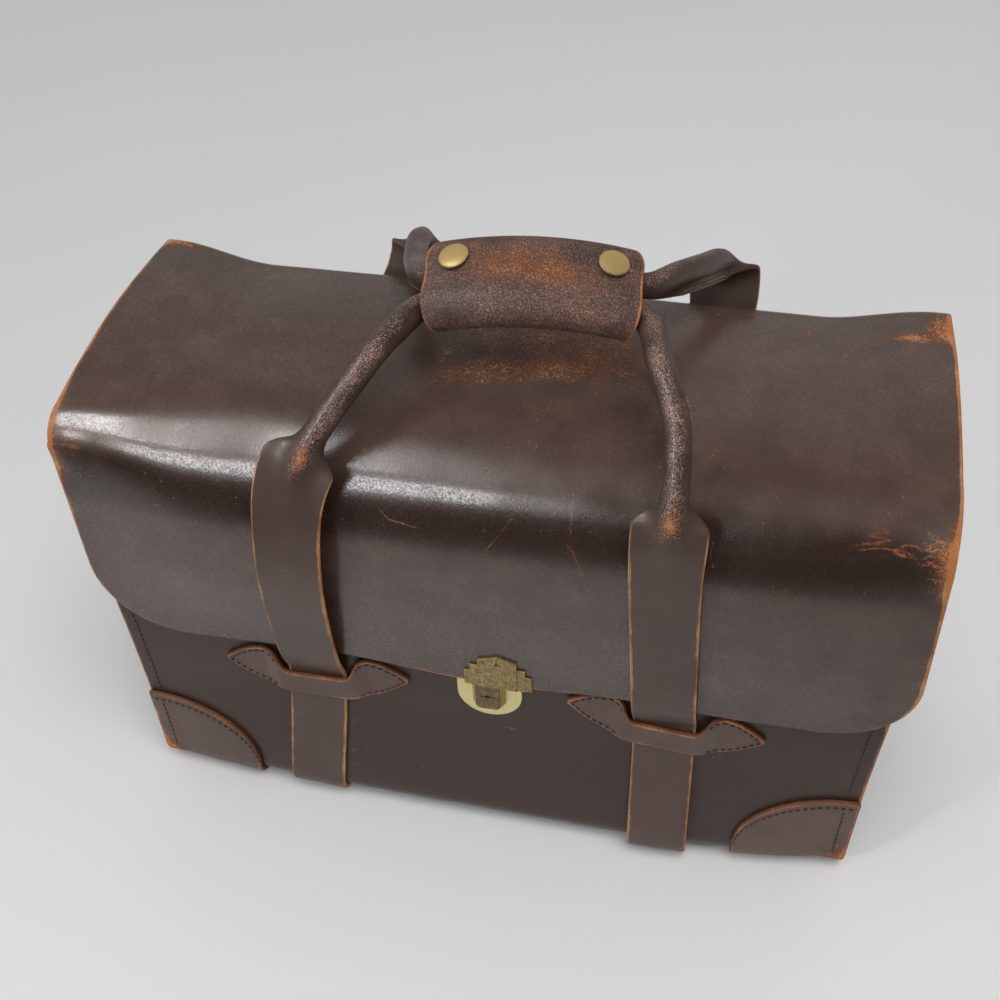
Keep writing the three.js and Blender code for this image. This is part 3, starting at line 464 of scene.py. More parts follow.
def leather_sheet(grid, thickness, marks=None, rim_steps=6):
    """A closed sheet from its outer face, with a rounded cut edge: points, faces and marks."""
    rows, columns = grid.shape[:2]
    radius = RIM_SHARE * thickness
    outer = drawn_in(grid, radius)
    normals = face_normals(outer)
    along = unit(np.gradient(outer, axis=0))
    across = unit(np.gradient(outer, axis=1))
    skew = np.linalg.norm(np.cross(along, across), axis=-1)
    for row in range(1, rows):
        weak = skew[row] < PARALLEL
        normals[row, weak] = normals[row - 1, weak]
    marks = {"edge": edge_distance(outer), **(marks or {})}
    loop = edge_loop(rows, columns)
    r, c = loop[:, 0], loop[:, 1]
    outward = (along[r, c] * ((r == rows - 1) * 1.0 - (r == 0))[:, None]
               + across[r, c] * ((c == columns - 1) * 1.0 - (c == 0))[:, None])
    outward = unit(outward)
    inner = outer - normals * thickness
    middle = outer[r, c] - normals[r, c] * thickness / 2
    rims = []
    for step in range(1, rim_steps):
        turn = math.pi * (0.5 - step / rim_steps)
        reach = radius * math.cos(turn) ** 0.6
        rise = math.copysign(abs(math.sin(turn)) ** 0.8, turn) * thickness / 2
        rims.append(middle + outward * reach + normals[r, c] * rise)
    count = rows * columns
    ring = len(loop)
    points = np.concatenate([outer.reshape(-1, 3), inner.reshape(-1, 3), np.concatenate(rims)])
    index = np.arange(count).reshape(rows, columns)
    quads = np.stack([index[:-1, :-1], index[1:, :-1], index[1:, 1:], index[:-1, 1:]], -1)
    quads = quads.reshape(-1, 4)
    loops = [index[r, c]]
    loops += [2 * count + k * ring + np.arange(ring) for k in range(rim_steps - 1)]
    loops += [count + index[r, c]]
    faces = [quads, quads[:, ::-1] + count]
    for a, b in zip(loops, loops[1:]):
        faces.append(np.stack([a, np.roll(a, -1), np.roll(b, -1), b], -1))
    rim_count = ring * (rim_steps - 1)
    values = {"raw": np.concatenate([np.zeros(2 * count), np.ones(rim_count)]),
              "flesh": np.concatenate([np.zeros(count), np.ones(count), np.zeros(rim_count)])}
    for key, value in marks.items():
        rim = np.tile(value[r, c], rim_steps - 1)
        values[key] = np.concatenate([value.ravel(), value.ravel(), rim])
    return points, np.concatenate(faces), values


def joined(parts):
    """One mesh from several: points, faces and marks."""
    points, faces, values, start = [], [], {}, 0
    keys = {key for part in parts for key in part[2]}
    for part_points, part_faces, part_values in parts:
        points.append(part_points)
        faces.append(part_faces + start)
        start += len(part_points)
        for key in keys:
            values.setdefault(key, []).append(part_values.get(key, np.zeros(len(part_points))))
    values = {key: np.concatenate(value) for key, value in values.items()}
    return np.concatenate(points), np.concatenate(faces), values


def thread_row(path, lift, pitch=None):
    """A row of stitches along a path: each is a short thread that dips into its two holes."""
    pitch = pitch or sizes().stitch_pitch / MM
    length = sizes().stitch_length / MM * pitch / (sizes().stitch_pitch / MM)
    radius = sizes().thread / MM
    path = np.asarray(path, float)
    lift = np.broadcast_to(np.asarray(lift, float), path.shape)
    reach = np.concatenate([[0], np.cumsum(np.linalg.norm(np.diff(path, axis=0), axis=1))])
    count = int(reach[-1] // pitch)
    rings, sides = 6, 6
    share = np.linspace(-0.5, 0.5, rings)
    at = ((np.arange(count) + 0.5) * pitch)[:, None] + share * length
    centre = np.stack([np.interp(at, reach, path[:, k]) for k in range(3)], -1)
    up = unit(np.stack([np.interp(at, reach, lift[:, k]) for k in range(3)], -1))
    ahead = unit(np.gradient(centre, axis=1))
    side = unit(np.cross(ahead, up))
    bulge = 1 - 0.5 * (2 * share) ** 2
    centre = centre + up * (radius * (0.8 - 1.5 * (2 * share) ** 4))[None, :, None]
    angle = np.arange(sides) * 2 * math.pi / sides
    ring = (side[:, :, None] * np.cos(angle)[:, None] + up[:, :, None] * np.sin(angle)[:, None])
    points = centre[:, :, None] + ring * (radius * bulge)[None, :, None, None]
    index = np.arange(count * rings * sides).reshape(count, rings, sides)
    around = np.roll(index, -1, axis=2)
    quads = np.stack([index[:, :-1], around[:, :-1], around[:, 1:], index[:, 1:]], -1)
    quads = quads.reshape(-1, 4)
    caps = []
    for end in (index[:, 0], index[:, -1]):
        caps.append(end[:, [0, 1, 2, 3]])
        caps.append(end[:, [0, 3, 4, 5]])
    return points.reshape(-1, 3), np.concatenate([quads, *caps]), {}


def inset_path(grid, distance):
    """Line on a sheet at a distance from its first row."""
    steps = np.linalg.norm(np.diff(grid, axis=0), axis=-1)
    reach = np.concatenate([np.zeros((1, grid.shape[1])), np.cumsum(steps, 0)])
    return np.array([[np.interp(distance, reach[:, c], grid[:, c, k]) for k in range(3)]
                     for c in range(grid.shape[1])])


def side_line(sign, y, z):
    """Line of a side seam on a panel."""
    return np.stack([sign * (half_width(y, z) - SEAM_INSET), np.full_like(z, y), z], -1)


def place_mesh(name, points, faces):
    """A smooth mesh in the frame of the solids."""
    mesh = bpy.data.meshes.new(name)
    mesh.from_pydata(((points + (0, SHIFT_Y, 0)) * MM).tolist(), [], faces.tolist())
    mesh.shade_smooth()
    return mesh


def place_piece(mesh, material, nodes, body):
    """The mesh as a piece: what it rides on, what it stands for and its finish."""
    mesh.materials.append(material)
    piece = bpy.data.objects.new(mesh.name, mesh)
    bpy.context.scene.collection.objects.link(piece)
    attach(piece, body)
    if nodes:
        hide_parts(*nodes)


def add_piece(name, shape, material, nodes=(), body="case"):
    """A piece of leather or thread, with its marks."""
    points, faces, values = shape
    tris = np.concatenate([faces[:, [0, 1, 2]], faces[:, [0, 2, 3]]])
    a, b, c = (points[tris[:, k]] for k in range(3))
    if (a * np.cross(b, c)).sum() < 0:
        faces = faces[:, ::-1]
    mesh = place_mesh(name, points, faces)
    for key, value in values.items():
        layer = mesh.attributes.new(key, "FLOAT", "POINT")
        layer.data.foreach_set("value", np.asarray(value, np.float32))
    place_piece(mesh, material, nodes, body)


# Surfaces of the case


def front_grid():
    """Front panel and base: rows from the top edge down, round the foot and under."""
    rows = []
    for turn in np.linspace(0, math.pi / 2, 10):
        cut = PANEL_CORNER * (1 - math.sin(turn))
        rows.append((FRONT_Y, CASE_TOP - PANEL_CORNER * (1 - math.cos(turn)), cut))
    for z in np.linspace(CASE_TOP - PANEL_CORNER, LIFT + BASE_RADIUS, 72)[1:]:
        rows.append((FRONT_Y, z, 0))
    for turn in np.linspace(1, 0, 13)[1:]:
        rows.append((*base_corner(-1, turn, 0)[:2], 0))
    for y in np.linspace(FRONT_Y + BASE_RADIUS, BASE_SEAM_Y, 14)[1:]:
        rows.append((y, LIFT, 0))
    across = np.linspace(-1, 1, 121)
    grid = [[(share * (half_width(y, z) - cut), y, z) for share in across]
            for y, z, cut in rows]
    return bow_out(tucked(grid))


def fillet(before, corner, after, radius):
    """Arcs that round a row of corners: a function from share to points."""
    into = unit(before - corner)
    out = unit(after - corner)
    half = np.arccos(np.clip((into * out).sum(-1), -1, 1)) / 2
    centre = corner + unit(into + out) * (radius / np.sin(half))[:, None]
    first = corner + into * (radius / np.tan(half))[:, None] - centre
    last = corner + out * (radius / np.tan(half))[:, None] - centre
    sweep = np.arctan2(first[:, 0] * last[:, 1] - first[:, 1] * last[:, 0], (first * last).sum(-1))

    def point(share):
        cos, sin = np.cos(sweep * share), np.sin(sweep * share)
        turned = [first[:, 0] * cos - first[:, 1] * sin, first[:, 0] * sin + first[:, 1] * cos]
        return centre + np.stack(turned, -1)

    return point


def hide_profile(at):
    """Parts of the back and flap's profile at places across, from -1 to 1."""
    end = smooth(np.abs(at), LIFT_FROM, LIFT_FULL)
    soft = smooth(np.abs(at), TIGHT_FROM, 1)
    left = at < 0
    fold_rise = np.where(left, FOLD_LIFT["left"], FOLD_LIFT["right"])
    bend_rise = np.where(left, BEND_LIFT["left"], BEND_LIFT["right"])
    bend_in = np.where(left, BEND_IN["left"], BEND_IN["right"])
    start = np.stack([np.full_like(at, BACK_Y), np.full_like(at, BACK_STRAIGHT)], -1)
    fold = np.stack([FOLD[0] + end * FOLD_LIFT["out"], FOLD[1] + end * fold_rise], -1)
    bend = np.stack([BEND[0] + end * bend_in, BEND[1] + end * bend_rise], -1)
    edge_y = mix(FLAP_EDGE_Y, FLAP_EDGE_Y_END, soft)
    edge = np.stack([edge_y, table_value(FLAP_EDGE, "at", "z", at)], -1)
    fold_arc = fillet(start, fold, bend, np.full_like(at, FOLD_RADIUS))
    end_radius = np.where(left, BEND_RADIUS_END["left"], BEND_RADIUS_END["right"])
    bend_arc = fillet(fold, bend, edge, mix(BEND_RADIUS, end_radius, soft))
    return start, fold_arc, bend_arc, edge


def flap_grid():
    """Back and flap in one hide: rows from the base seam up the back, over and down the front."""
    at = np.sin(np.linspace(-1, 1, 141) * 1.25) / math.sin(1.25)
    start, fold_arc, bend_arc, edge = hide_profile(at)
    rows = []

    def add(shares, low, high, place, cut=lambda share: 0):
        for share in shares:
            rows.append((mix(low, high, share), cut(share), place(share)))

    def steps(count):
        return np.linspace(0, 1, count + 1)[1:]

    def level(y, z):
        return np.stack([np.full_like(at, y), np.full_like(at, z)], -1)

    def crown(share):
        flat = mix(fold_arc(1), bend_arc(0), share)
        flat[:, 1] += TOP_CROWN * math.sin(math.pi * share)
        return flat

    seam, foot = BASE_SEAM_Y + GAP, BACK_Y - BASE_RADIUS
    add(np.linspace(0, 1, 8), 0, 0.5, lambda s: level(mix(seam, foot, s), LIFT))
    add(steps(12), 0.5, 1, lambda s: level(*base_corner(1, s, 0)[:2]))
    add(steps(40), 1, 1.7, lambda s: level(BACK_Y, mix(LIFT + BASE_RADIUS, BACK_STRAIGHT, s)))
    add(steps(14), 1.7, 1.9, lambda s: mix(start, fold_arc(0), s))
    add(steps(12), 1.9, 2.1, fold_arc)
    add(steps(44), 2.1, 2.8, crown)
    add(steps(22), 2.8, 3.1, bend_arc)
    add(steps(26) * FLAP_STRAIGHT, 3.1, 4, lambda s: mix(bend_arc(1), edge, s))
    for turn in steps(20) * math.pi / 2:
        share = mix(FLAP_STRAIGHT, 1, math.sin(turn))
        cut = FLAP_CORNER * (1 - math.cos(turn))
        add([share], 3.1, 4, lambda s: mix(bend_arc(1), edge, s), lambda s, cut=cut: cut)
    stages = np.arange(len(SIDE_LEFT))
    grid = []
    for stage, cut, place in rows:
        left = np.interp(stage, stages, SIDE_LEFT) + cut
        right = np.interp(stage, stages, SIDE_RIGHT) - cut
        grid.append(np.column_stack([mix(left, right, (at + 1) / 2), place]))
    return bow_out(grid)


def relaxed(grid):
    """Flap with its bend eased, so that its curve runs out slowly down the front."""
    across = np.linspace(-1, 1, grid.shape[1])
    front = smooth(-grid[..., 1], 5, 45) * smooth(grid[..., 2], 140, 200)
    front = front * (0.5 + 0.5 * smooth(-across, 0.25, 0.6))
    ease = front * (1 - smooth(np.abs(across), 0.8, 0.97))
    push = front * (1 - smooth(np.abs(across), 0.45, 1.0))
    soft = grid.copy()
    for _ in range(EASE_PASSES):
        before, after = soft[1:-1] - soft[:-2], soft[2:] - soft[1:-1]
        first = np.linalg.norm(before, axis=-1, keepdims=True)
        second = np.linalg.norm(after, axis=-1, keepdims=True)
        pull = (after * first - before * second) / (first + second)
        soft[1:-1] += EASE_PULL * pull * ease[1:-1, :, None]
    return soft + face_normals(soft) * (BEND_PUSH * push)[..., None]


def gusset_grids(side):
    """End wall and its flange: two sheets."""
    reach = sizes().hide / MM + GAP
    thick = sizes().lining / MM
    foot = LIFT + BASE_RADIUS
    path = [(FRONT_Y + reach, z) for z in np.linspace(GUSSET_TOP, foot, 60)]
    path += [base_corner(-1, turn, -reach)[:2] for turn in np.linspace(1, 0, 9)[1:]]
    under = np.linspace(FRONT_Y + BASE_RADIUS, BACK_Y - BASE_RADIUS, 24)[1:-1]
    path += [(y, LIFT + reach) for y in under]
    path += [base_corner(1, turn, -reach)[:2] for turn in np.linspace(0, 1, 9)]
    path += [(BACK_Y - reach, z) for z in np.linspace(foot, GUSSET_TOP, 60)[1:]]
    shares = np.linspace(0, 1, 6)
    inset = GUSSET_INSET * (1 - shares if side > 0 else shares)
    flange = [[(side * (half_width(y, z) - d), y, z) for d in inset] for y, z in path]
    tuck = reach + thick / 2
    inner = BASE_RADIUS - tuck
    wall = []
    for down in np.linspace(0, 1, 50):
        row = []
        for share in np.linspace(0, 1, 40):
            across = share if side > 0 else 1 - share
            y = mix(FRONT_Y + tuck, BACK_Y - tuck, across)
            into = max(0.0, abs(y) - (BACK_Y - BASE_RADIUS))
            low = foot - math.sqrt(max(0.0, inner ** 2 - into ** 2))
            high = GUSSET_TOP - 1 - GUSSET_DIP * math.cos((across - 0.5) * math.pi)
            z = mix(high, low, down)
            row.append((side * (half_width(y, z) - GUSSET_INSET + thick), y, z))
        wall.append(row)
    return bow_out(tucked(flange)), bow_out(tucked(wall))


def patch_grid(side, face):
    """Corner patch: from its curved top edge down the panel, round the foot and under."""
    offset = GAP + sizes().strap / MM
    toe = LIFT + BASE_RADIUS + PATCH_TOE
    turns = np.linspace(0, math.pi / 2, 40)
    tops = mix(toe, LIFT + PATCH_HEIGHT, np.cos(turns))
    rows = [(np.full_like(turns, face * (BACK_Y + offset)), mix(tops, LIFT + BASE_RADIUS, share))
            for share in np.linspace(0, 1, 22)]
    for turn in np.linspace(1, 0, 12)[1:]:
        y, z, _ = base_corner(face, turn, offset)
        rows.append((np.full_like(turns, y), np.full_like(turns, z)))
    for share in np.linspace(0, 1, 6)[1:]:
        y = face * mix(BACK_Y - BASE_RADIUS, BACK_Y - PATCH_UNDER, share)
        rows.append((np.full_like(turns, y), np.zeros_like(turns)))
    inward = PATCH_WIDTH * np.sin(turns)
    grid = np.array([np.column_stack([side * (half_width(y, z) - inward), y, z]) for y, z in rows])
    return bow_out(grid if side * face > 0 else grid[:, ::-1])


def keeper_face(x, face):
    """y of a keeper's outer face at a distance from the middle of its band."""
    thick = sizes().strap / MM
    flat = GAP + thick
    ramp = sizes().strap_width / MM / 2 + KEEPER_EASE + thick
    rise = 1 - smooth(np.abs(x), ramp, ramp + KEEPER_RAMP)
    return face * (BACK_Y + mix(flat, flat + GAP + thick, rise))


def keeper_point(strap, face, x, z):
    turn = math.radians(strap["tilt"])
    away = z - KEEPER_TOP
    across = strap["keeper"] + x * math.cos(turn) - away * math.sin(turn)
    up = KEEPER_TOP + x * math.sin(turn) + away * math.cos(turn)
    return np.stack([across, keeper_face(x, face), up], -1)


def keeper_outline(x):
    places = KEEPER_OUTLINE["x"]
    return [np.interp(np.abs(x), places, KEEPER_OUTLINE[key]) for key in ("low", "high")]


def keeper_grid(strap, face):
    half = KEEPER_OUTLINE["x"][-1]
    across = np.linspace(-half, half, 180)
    kernel = np.hanning(9) / np.hanning(9).sum()
    low, high = (np.convolve(np.pad(edge, 4, "edge"), kernel, "valid")
                 for edge in keeper_outline(across))
    rows = []
    for x, bottom, top in zip(across, low, high):
        z = np.linspace(bottom, top, 12)
        rows.append(keeper_point(strap, face, np.full_like(z, x), z))
    grid = np.array(rows)
    return grid if face < 0 else grid[:, ::-1]


# Handles and grip


def grip_place(turn, across, up):
    """Point and outward direction on the grip's arch."""
    tilt = math.radians(GRIP_TILT)
    back = np.array((0, math.cos(tilt), math.sin(tilt)))
    rise = np.array((0, -math.sin(tilt), math.cos(tilt)))
    normal = rise * math.cos(turn) + np.array((math.sin(turn), 0, 0))
    point = -rise * GRIP_ARCH + normal * (GRIP_ARCH + up) + back * across
    yaw = np.array(Matrix.Rotation(math.radians(GRIP_YAW), 3, "Z"))
    return yaw @ point + GRIP, yaw @ normal


def smooth_line(points, steps):
    """Centripetal curve through points, with a number of steps between each two."""
    points = np.asarray(points, float)
    ends = [2 * points[0] - points[1], *points, 2 * points[-1] - points[-2]]
    line = []
    for p0, p1, p2, p3 in zip(ends, ends[1:], ends[2:], ends[3:]):
        d0, d1, d2 = (math.sqrt(np.linalg.norm(b - a)) for a, b in ((p0, p1), (p1, p2), (p2, p3)))
        t1 = ((p1 - p0) / d0 - (p2 - p0) / (d0 + d1) + (p2 - p1) / d1) * d1
        t2 = ((p2 - p1) / d1 - (p3 - p1) / (d1 + d2) + (p3 - p2) / d2) * d1
        for t in np.arange(steps) / steps:
            line.append(p1 + t1 * t + (3 * (p2 - p1) - 2 * t1 - t2) * t ** 2
                        + (2 * (p1 - p2) + t1 + t2) * t ** 3)
    return np.array(line)


def strap_stations(strap, run, face):
    """One strap, from under the case to mid-grip: point, normal, width, roll and fin."""
    width = sizes().strap_width / MM
    half = sizes().strap / MM / 2
    mid = GAP + half
    foot = LIFT + BASE_RADIUS
    stations = []

    def flat(x, y, z, normal):
        stations.append((np.array((x, y, z)), np.array(normal), width, 0, 1))

    for y in np.linspace(GAP / 2, BACK_Y - BASE_RADIUS, 14)[:-1]:
        flat(strap["base"], face * y, half, (0, 0, -1))
    for turn in np.linspace(0, 1, 14):
        slack = strap["slack"] * math.sin(turn * math.pi / 2) ** 2
        y, z, out = base_corner(face, turn, mid + slack)
        flat(strap["base"], y, z, (0, *out))
    panel_y = face * (BACK_Y + mid)
    for z in np.linspace(foot, KEEPER_TOP, 26)[1:]:
        x = mix(strap["base"], strap["keeper"], (z - foot) / (KEEPER_TOP - foot))
        y = panel_y + face * strap["slack"] * (1 - float(smooth(z, foot, BOW_TOP)))
        flat(x, y, z, (0, face, 0))
    knots = [((strap["keeper"], panel_y, KEEPER_TOP + 2 * half), (0, face, 0), width, 0, 1)]
    for x, y, z, shoulder, roll in run:
        normal = unit(np.array((0, y, max(0, z - OUTWARD_Z)), float))
        knots.append(((x, y, z), normal, mix(width, SHOULDER_WIDTH, shoulder), roll, 1))
    side = math.copysign(1, strap["base"])
    for share, spread, rise in ROLL_IN_GRIP:
        point, normal = grip_place(side * GRIP_LENGTH / 2 / GRIP_ARCH * share, face * spread, rise)
        knots.append((point, normal, width, 1, FIN_IN_GRIP))
    steps = 12
    line = smooth_line([knot[0] for knot in knots], steps)
    for i, (here, after) in enumerate(zip(knots, knots[1:])):
        for k in range(steps):
            point = line[i * steps + k]
            if point[2] < CASE_TOP / 2:
                point[1] = face * max(face * point[1], BACK_Y + mid)
            blend = [mix(np.asarray(a, float), np.asarray(b, float), k / steps)
                     for a, b in zip(here[1:], after[1:])]
            stations.append((point, *blend))
    return stations, knots[-1]


def strap_section(width, roll, fin):
    """Section of the strap, flat at roll 0 and a sewn tube with its fin at roll 1."""
    half = sizes().strap / MM / 2
    radius = sizes().roll / MM
    edge = 1.0
    share = np.linspace(-1, 1, FACE_POINTS)
    turn = np.linspace(1.2, -1.2, RIM_POINTS)
    rim = np.stack([width / 2 - edge + edge * np.cos(turn) ** 0.6,
                    np.sign(turn) * np.abs(np.sin(turn)) ** 0.8 * half], -1)
    inside = np.linspace(1, -1, INSIDE_POINTS)
    flat = [np.stack([share * (width / 2 - edge), np.full_like(share, half)], -1), rim,
            np.stack([inside * (width / 2 - edge), np.full_like(inside, -half)], -1),
            rim[::-1] * (-1, 1)]
    angle = share * math.radians(ROLL_SWEEP / 2)
    tube = np.stack([np.sin(angle), np.cos(angle)], -1) * radius
    tip = np.array((FIN_HALF, -radius - FIN_DEPTH * fin))
    down = np.linspace(0, 1, RIM_POINTS + 2)[1:-1, None]
    neck = mix(tube[-1], tip, down)
    neck[:, 0] -= 0.5 * np.sin(math.pi * down[:, 0])
    groove = 0.7 * np.exp(-(inside / 0.3) ** 2)
    end = np.stack([inside * FIN_HALF, tip[1] + groove], -1)
    rolled = [tube, neck, end, neck[::-1] * (-1, 1)]
    section = mix(np.concatenate(flat), np.concatenate(rolled), float(smooth(roll, 0.5, 1.0)))
    tongue = 4.2 * float(smooth(roll, 0.02, 0.5) * (1 - smooth(roll, 0.7, 1.0)))
    section[:, 1] += tongue * np.exp(-(section[:, 0] / 6.5) ** 2)
    return section


def handle_shape(name, face):
    """One handle: up the right strap, through the grip and down the left one."""
    right, middle = strap_stations(STRAPS[name + "_right"], RUNS[name + "_right"], face)
    left, _ = strap_stations(STRAPS[name + "_left"], RUNS[name + "_left"], face)
    stations = [*right, (np.asarray(middle[0]), *middle[1:]), *left[::-1]]
    line = np.array([station[0] for station in stations])
    ahead = unit(np.gradient(line, axis=0))
    normal = np.array([station[1] for station in stations])
    normal = unit(normal - ahead * (normal * ahead).sum(-1, keepdims=True))
    across = np.cross(ahead, normal)
    width, roll, fin = (np.array([float(station[k]) for station in stations]) for k in (2, 3, 4))
    section = np.array([strap_section(*row) for row in zip(width, roll, fin)])
    rings = line[:, None] + across[:, None] * section[..., :1] + normal[:, None] * section[..., 1:]
    rings = bow_out(rings)
    count, size = rings.shape[:2]
    part = np.repeat((0, 1, 2, 1), (FACE_POINTS, RIM_POINTS, INSIDE_POINTS, RIM_POINTS))
    share = np.linspace(-1, 1, FACE_POINTS)
    away = np.full((count, size), 20.0)
    away[:, :FACE_POINTS] = (1 - np.abs(share)) * width[:, None] / 2
    rolled = roll[:, None]
    shut = smooth(rolled, 0.3, 0.6)
    middle_line = np.exp(-(away - width[:, None] / 2) ** 2 / 16) * (part == 0)
    ridge = np.zeros(size)
    ridge[:FACE_POINTS] = np.clip(np.cos(share * math.radians(ROLL_SWEEP / 2)), 0, 1) ** 1.2
    values = {
        "edge": away + 20 * smooth(rolled, 0.1, 0.7),
        "raw": (part == 1) * (1 - shut) + (part == 2) * smooth(rolled, 0.6, 0.95) * 0.8,
        "flesh": (part == 2) * (1 - shut),
        "rub": smooth(rolled, 0.05, 0.6) * ridge,
        "grained": np.repeat(0.35 + 0.65 * smooth(rolled, 0.02, 0.4), size, 1),
        "flare": np.exp(-((rolled - 0.62) / 0.22) ** 2) * middle_line,
    }
    index = np.arange(count * size).reshape(count, size)
    after = np.roll(index, -1, axis=1)
    faces = np.stack([index[:-1], after[:-1], after[1:], index[1:]], -1).reshape(-1, 4)
    caps = []
    pick = np.round(np.linspace(0, FACE_POINTS - 1, INSIDE_POINTS)).astype(int)
    for ring in (index[0], index[-1]):
        inside = ring[part == 2][::-1]
        outside = ring[pick]
        caps.append(np.stack([outside[:-1], inside[:-1], inside[1:], outside[1:]], -1))
    values = {key: value.ravel() for key, value in values.items()}
    shape = rings.reshape(-1, 3), np.concatenate([faces, *caps]), values
    seams = []
    sewn = (roll > 0.95) & (fin > 0.95)
    runs = np.split(np.arange(count), np.flatnonzero(np.diff(sewn.astype(int))) + 1)
    for side in (1, -1):
        path = line + across * (side * 2.0) - normal * (sizes().roll / MM + FIN_DEPTH * 0.5)
        for run in runs:
            if sewn[run[0]] and len(run) > 4:
                seams.append(thread_row(path[run], side * across[run], HANDLE_PITCH))
    return shape, joined(seams)


def grip_grid():
    """Wrap of the grip: from its inner lap, under, round the front and over to its outer lap."""
    radius = GRIP_HIGH / 2
    flat = (GRIP_WIDE - GRIP_HIGH) / 2
    lap = sizes().lining / MM + GAP
    section = []

    def arc(centre, start, stop, count, offset=lambda share: 0, narrow=lambda share: 0):
        for share in np.linspace(0, 1, count):
            angle = math.radians(mix(start, stop, share))
            reach = radius + offset(share)
            place = centre + reach * math.cos(angle), reach * math.sin(angle)
            section.append((*place, narrow(share)))

    def lapped(share):
        return lap * float(smooth(share * (90 + GRIP_OVERLAP) / 90, 0, 0.9))

    def pointed(share):
        return LAP_CUT * float(smooth(share * (90 + GRIP_OVERLAP) - 90, -90, 60))

    arc(flat, -10, -90, 12)
    section.extend((x, -radius, 0) for x in np.linspace(flat, -flat, 14)[1:-1])
    arc(-flat, -90, -270, 30)
    for x in np.linspace(-flat, flat, 16)[1:-1]:
        section.append((x, radius - 1.0 * math.exp(-(x / 6) ** 2), 0))
    arc(flat, 90, -GRIP_OVERLAP, 30, lapped, pointed)
    last = GRIP_LENGTH / 2 / GRIP_ARCH
    turns = np.linspace(-last, last, 72)
    return np.array([[grip_place(turn * (1 - cut), x, up)[0] for x, up, cut in section]
                     for turn in turns])


# Shader arithmetic


class Wire:
    """A shader socket that takes part in Python arithmetic."""

    def __init__(self, graph, socket):
        self.graph = graph
        self.socket = socket

    def maths(self, operation, first, second=0.0):
        return self.graph.node("Math", {"operation": operation}, {0: first, 1: second})

    def __add__(self, other):
        return self.maths("ADD", self, other)

    __radd__ = __add__

    def __sub__(self, other):
        return self.maths("SUBTRACT", self, other)

    def __rsub__(self, other):
        return self.maths("SUBTRACT", other, self)

    def __mul__(self, other):
        return self.maths("MULTIPLY", self, other)

    __rmul__ = __mul__

    def __truediv__(self, other):
        return self.maths("DIVIDE", self, other)

    def __rtruediv__(self, other):
        return self.maths("DIVIDE", other, self)

    def __abs__(self):
        return self.maths("ABSOLUTE", self)

    def most(self, other):
        return self.maths("MAXIMUM", self, other)

    def least(self, other):
        return self.maths("MINIMUM", self, other)

    def twin(self, name):
        """Another output of the same node."""
        return Wire(self.graph, self.socket.node.outputs[name])

    def ramp(self, low, high):
        """Smooth step from 0 at low to 1 at high."""
        settings = {"interpolation_type": "SMOOTHSTEP"}
        return self.graph.node("MapRange", settings, {0: self, 1: low, 2: high})


class Graph:
    """Nodes of one material, or of the studio's world."""

    def __init__(self, owner):
        owner.use_nodes = True
        self.owner = owner
        self.tree = owner.node_tree
        self.tree.nodes.clear()
        self.place = self.node("TexCoord", out="Object")

    def node(self, kind, settings=None, sockets=None, out=0):
        """A node of that kind: its settings first, then its sockets' values or links."""
        node = self.tree.nodes.new("ShaderNode" + kind)
        for key, value in (settings or {}).items():
            setattr(node, key, value)
        for key, value in (sockets or {}).items():
            if isinstance(value, Wire):
                self.tree.links.new(value.socket, node.inputs[key])
            else:
                node.inputs[key].default_value = value
        return Wire(self, node.outputs[out]) if node.outputs else None

    def mark(self, name):
        return self.node("Attribute", {"attribute_name": name}, out="Fac")

    def stretch(self, scale):
        return self.node("Mapping", None, {"Vector": self.place, "Scale": scale})

    def noise(self, scale, detail=3.0, roughness=0.55, place=None):
        return self.node("TexNoise", None, {"Vector": place or self.place, "Scale": scale,
                                            "Detail": detail, "Roughness": roughness})

    def mix(self, share, first, second):
        return self.node("Mix", {"data_type": "RGBA"}, {0: share, 6: first, 7: second}, out=2)

    def bump(self, height, distance, strength=1.0):
        return self.node("Bump", None, {"Height": height, "Distance": distance, "Strength": strength})

    def finish(self, sockets):
        shader = self.node("BsdfPrincipled", None, sockets)
        self.node("OutputMaterial", None, {"Surface": shader})
        return self.owner


def stroke(across, up, start, end, width):
    """A scratch between two points of a face, in millimetres: 1 on its line, 0 away from it."""
    (x0, z0), (x1, z1) = np.array(start) * MM, np.array(end) * MM
    dx, dz = x1 - x0, z1 - z0
    square = dx * dx + dz * dz
    share = (across - x0) * (dx / square) + (up - z0) * (dz / square)
    share = share.most(0.0).least(1.0)
    off_x = across - x0 - share * dx
    off_z = up - z0 - share * dz
    return 1 - ((off_x * off_x + off_z * off_z) / (width * MM) ** 2).ramp(0.1, 1.0)


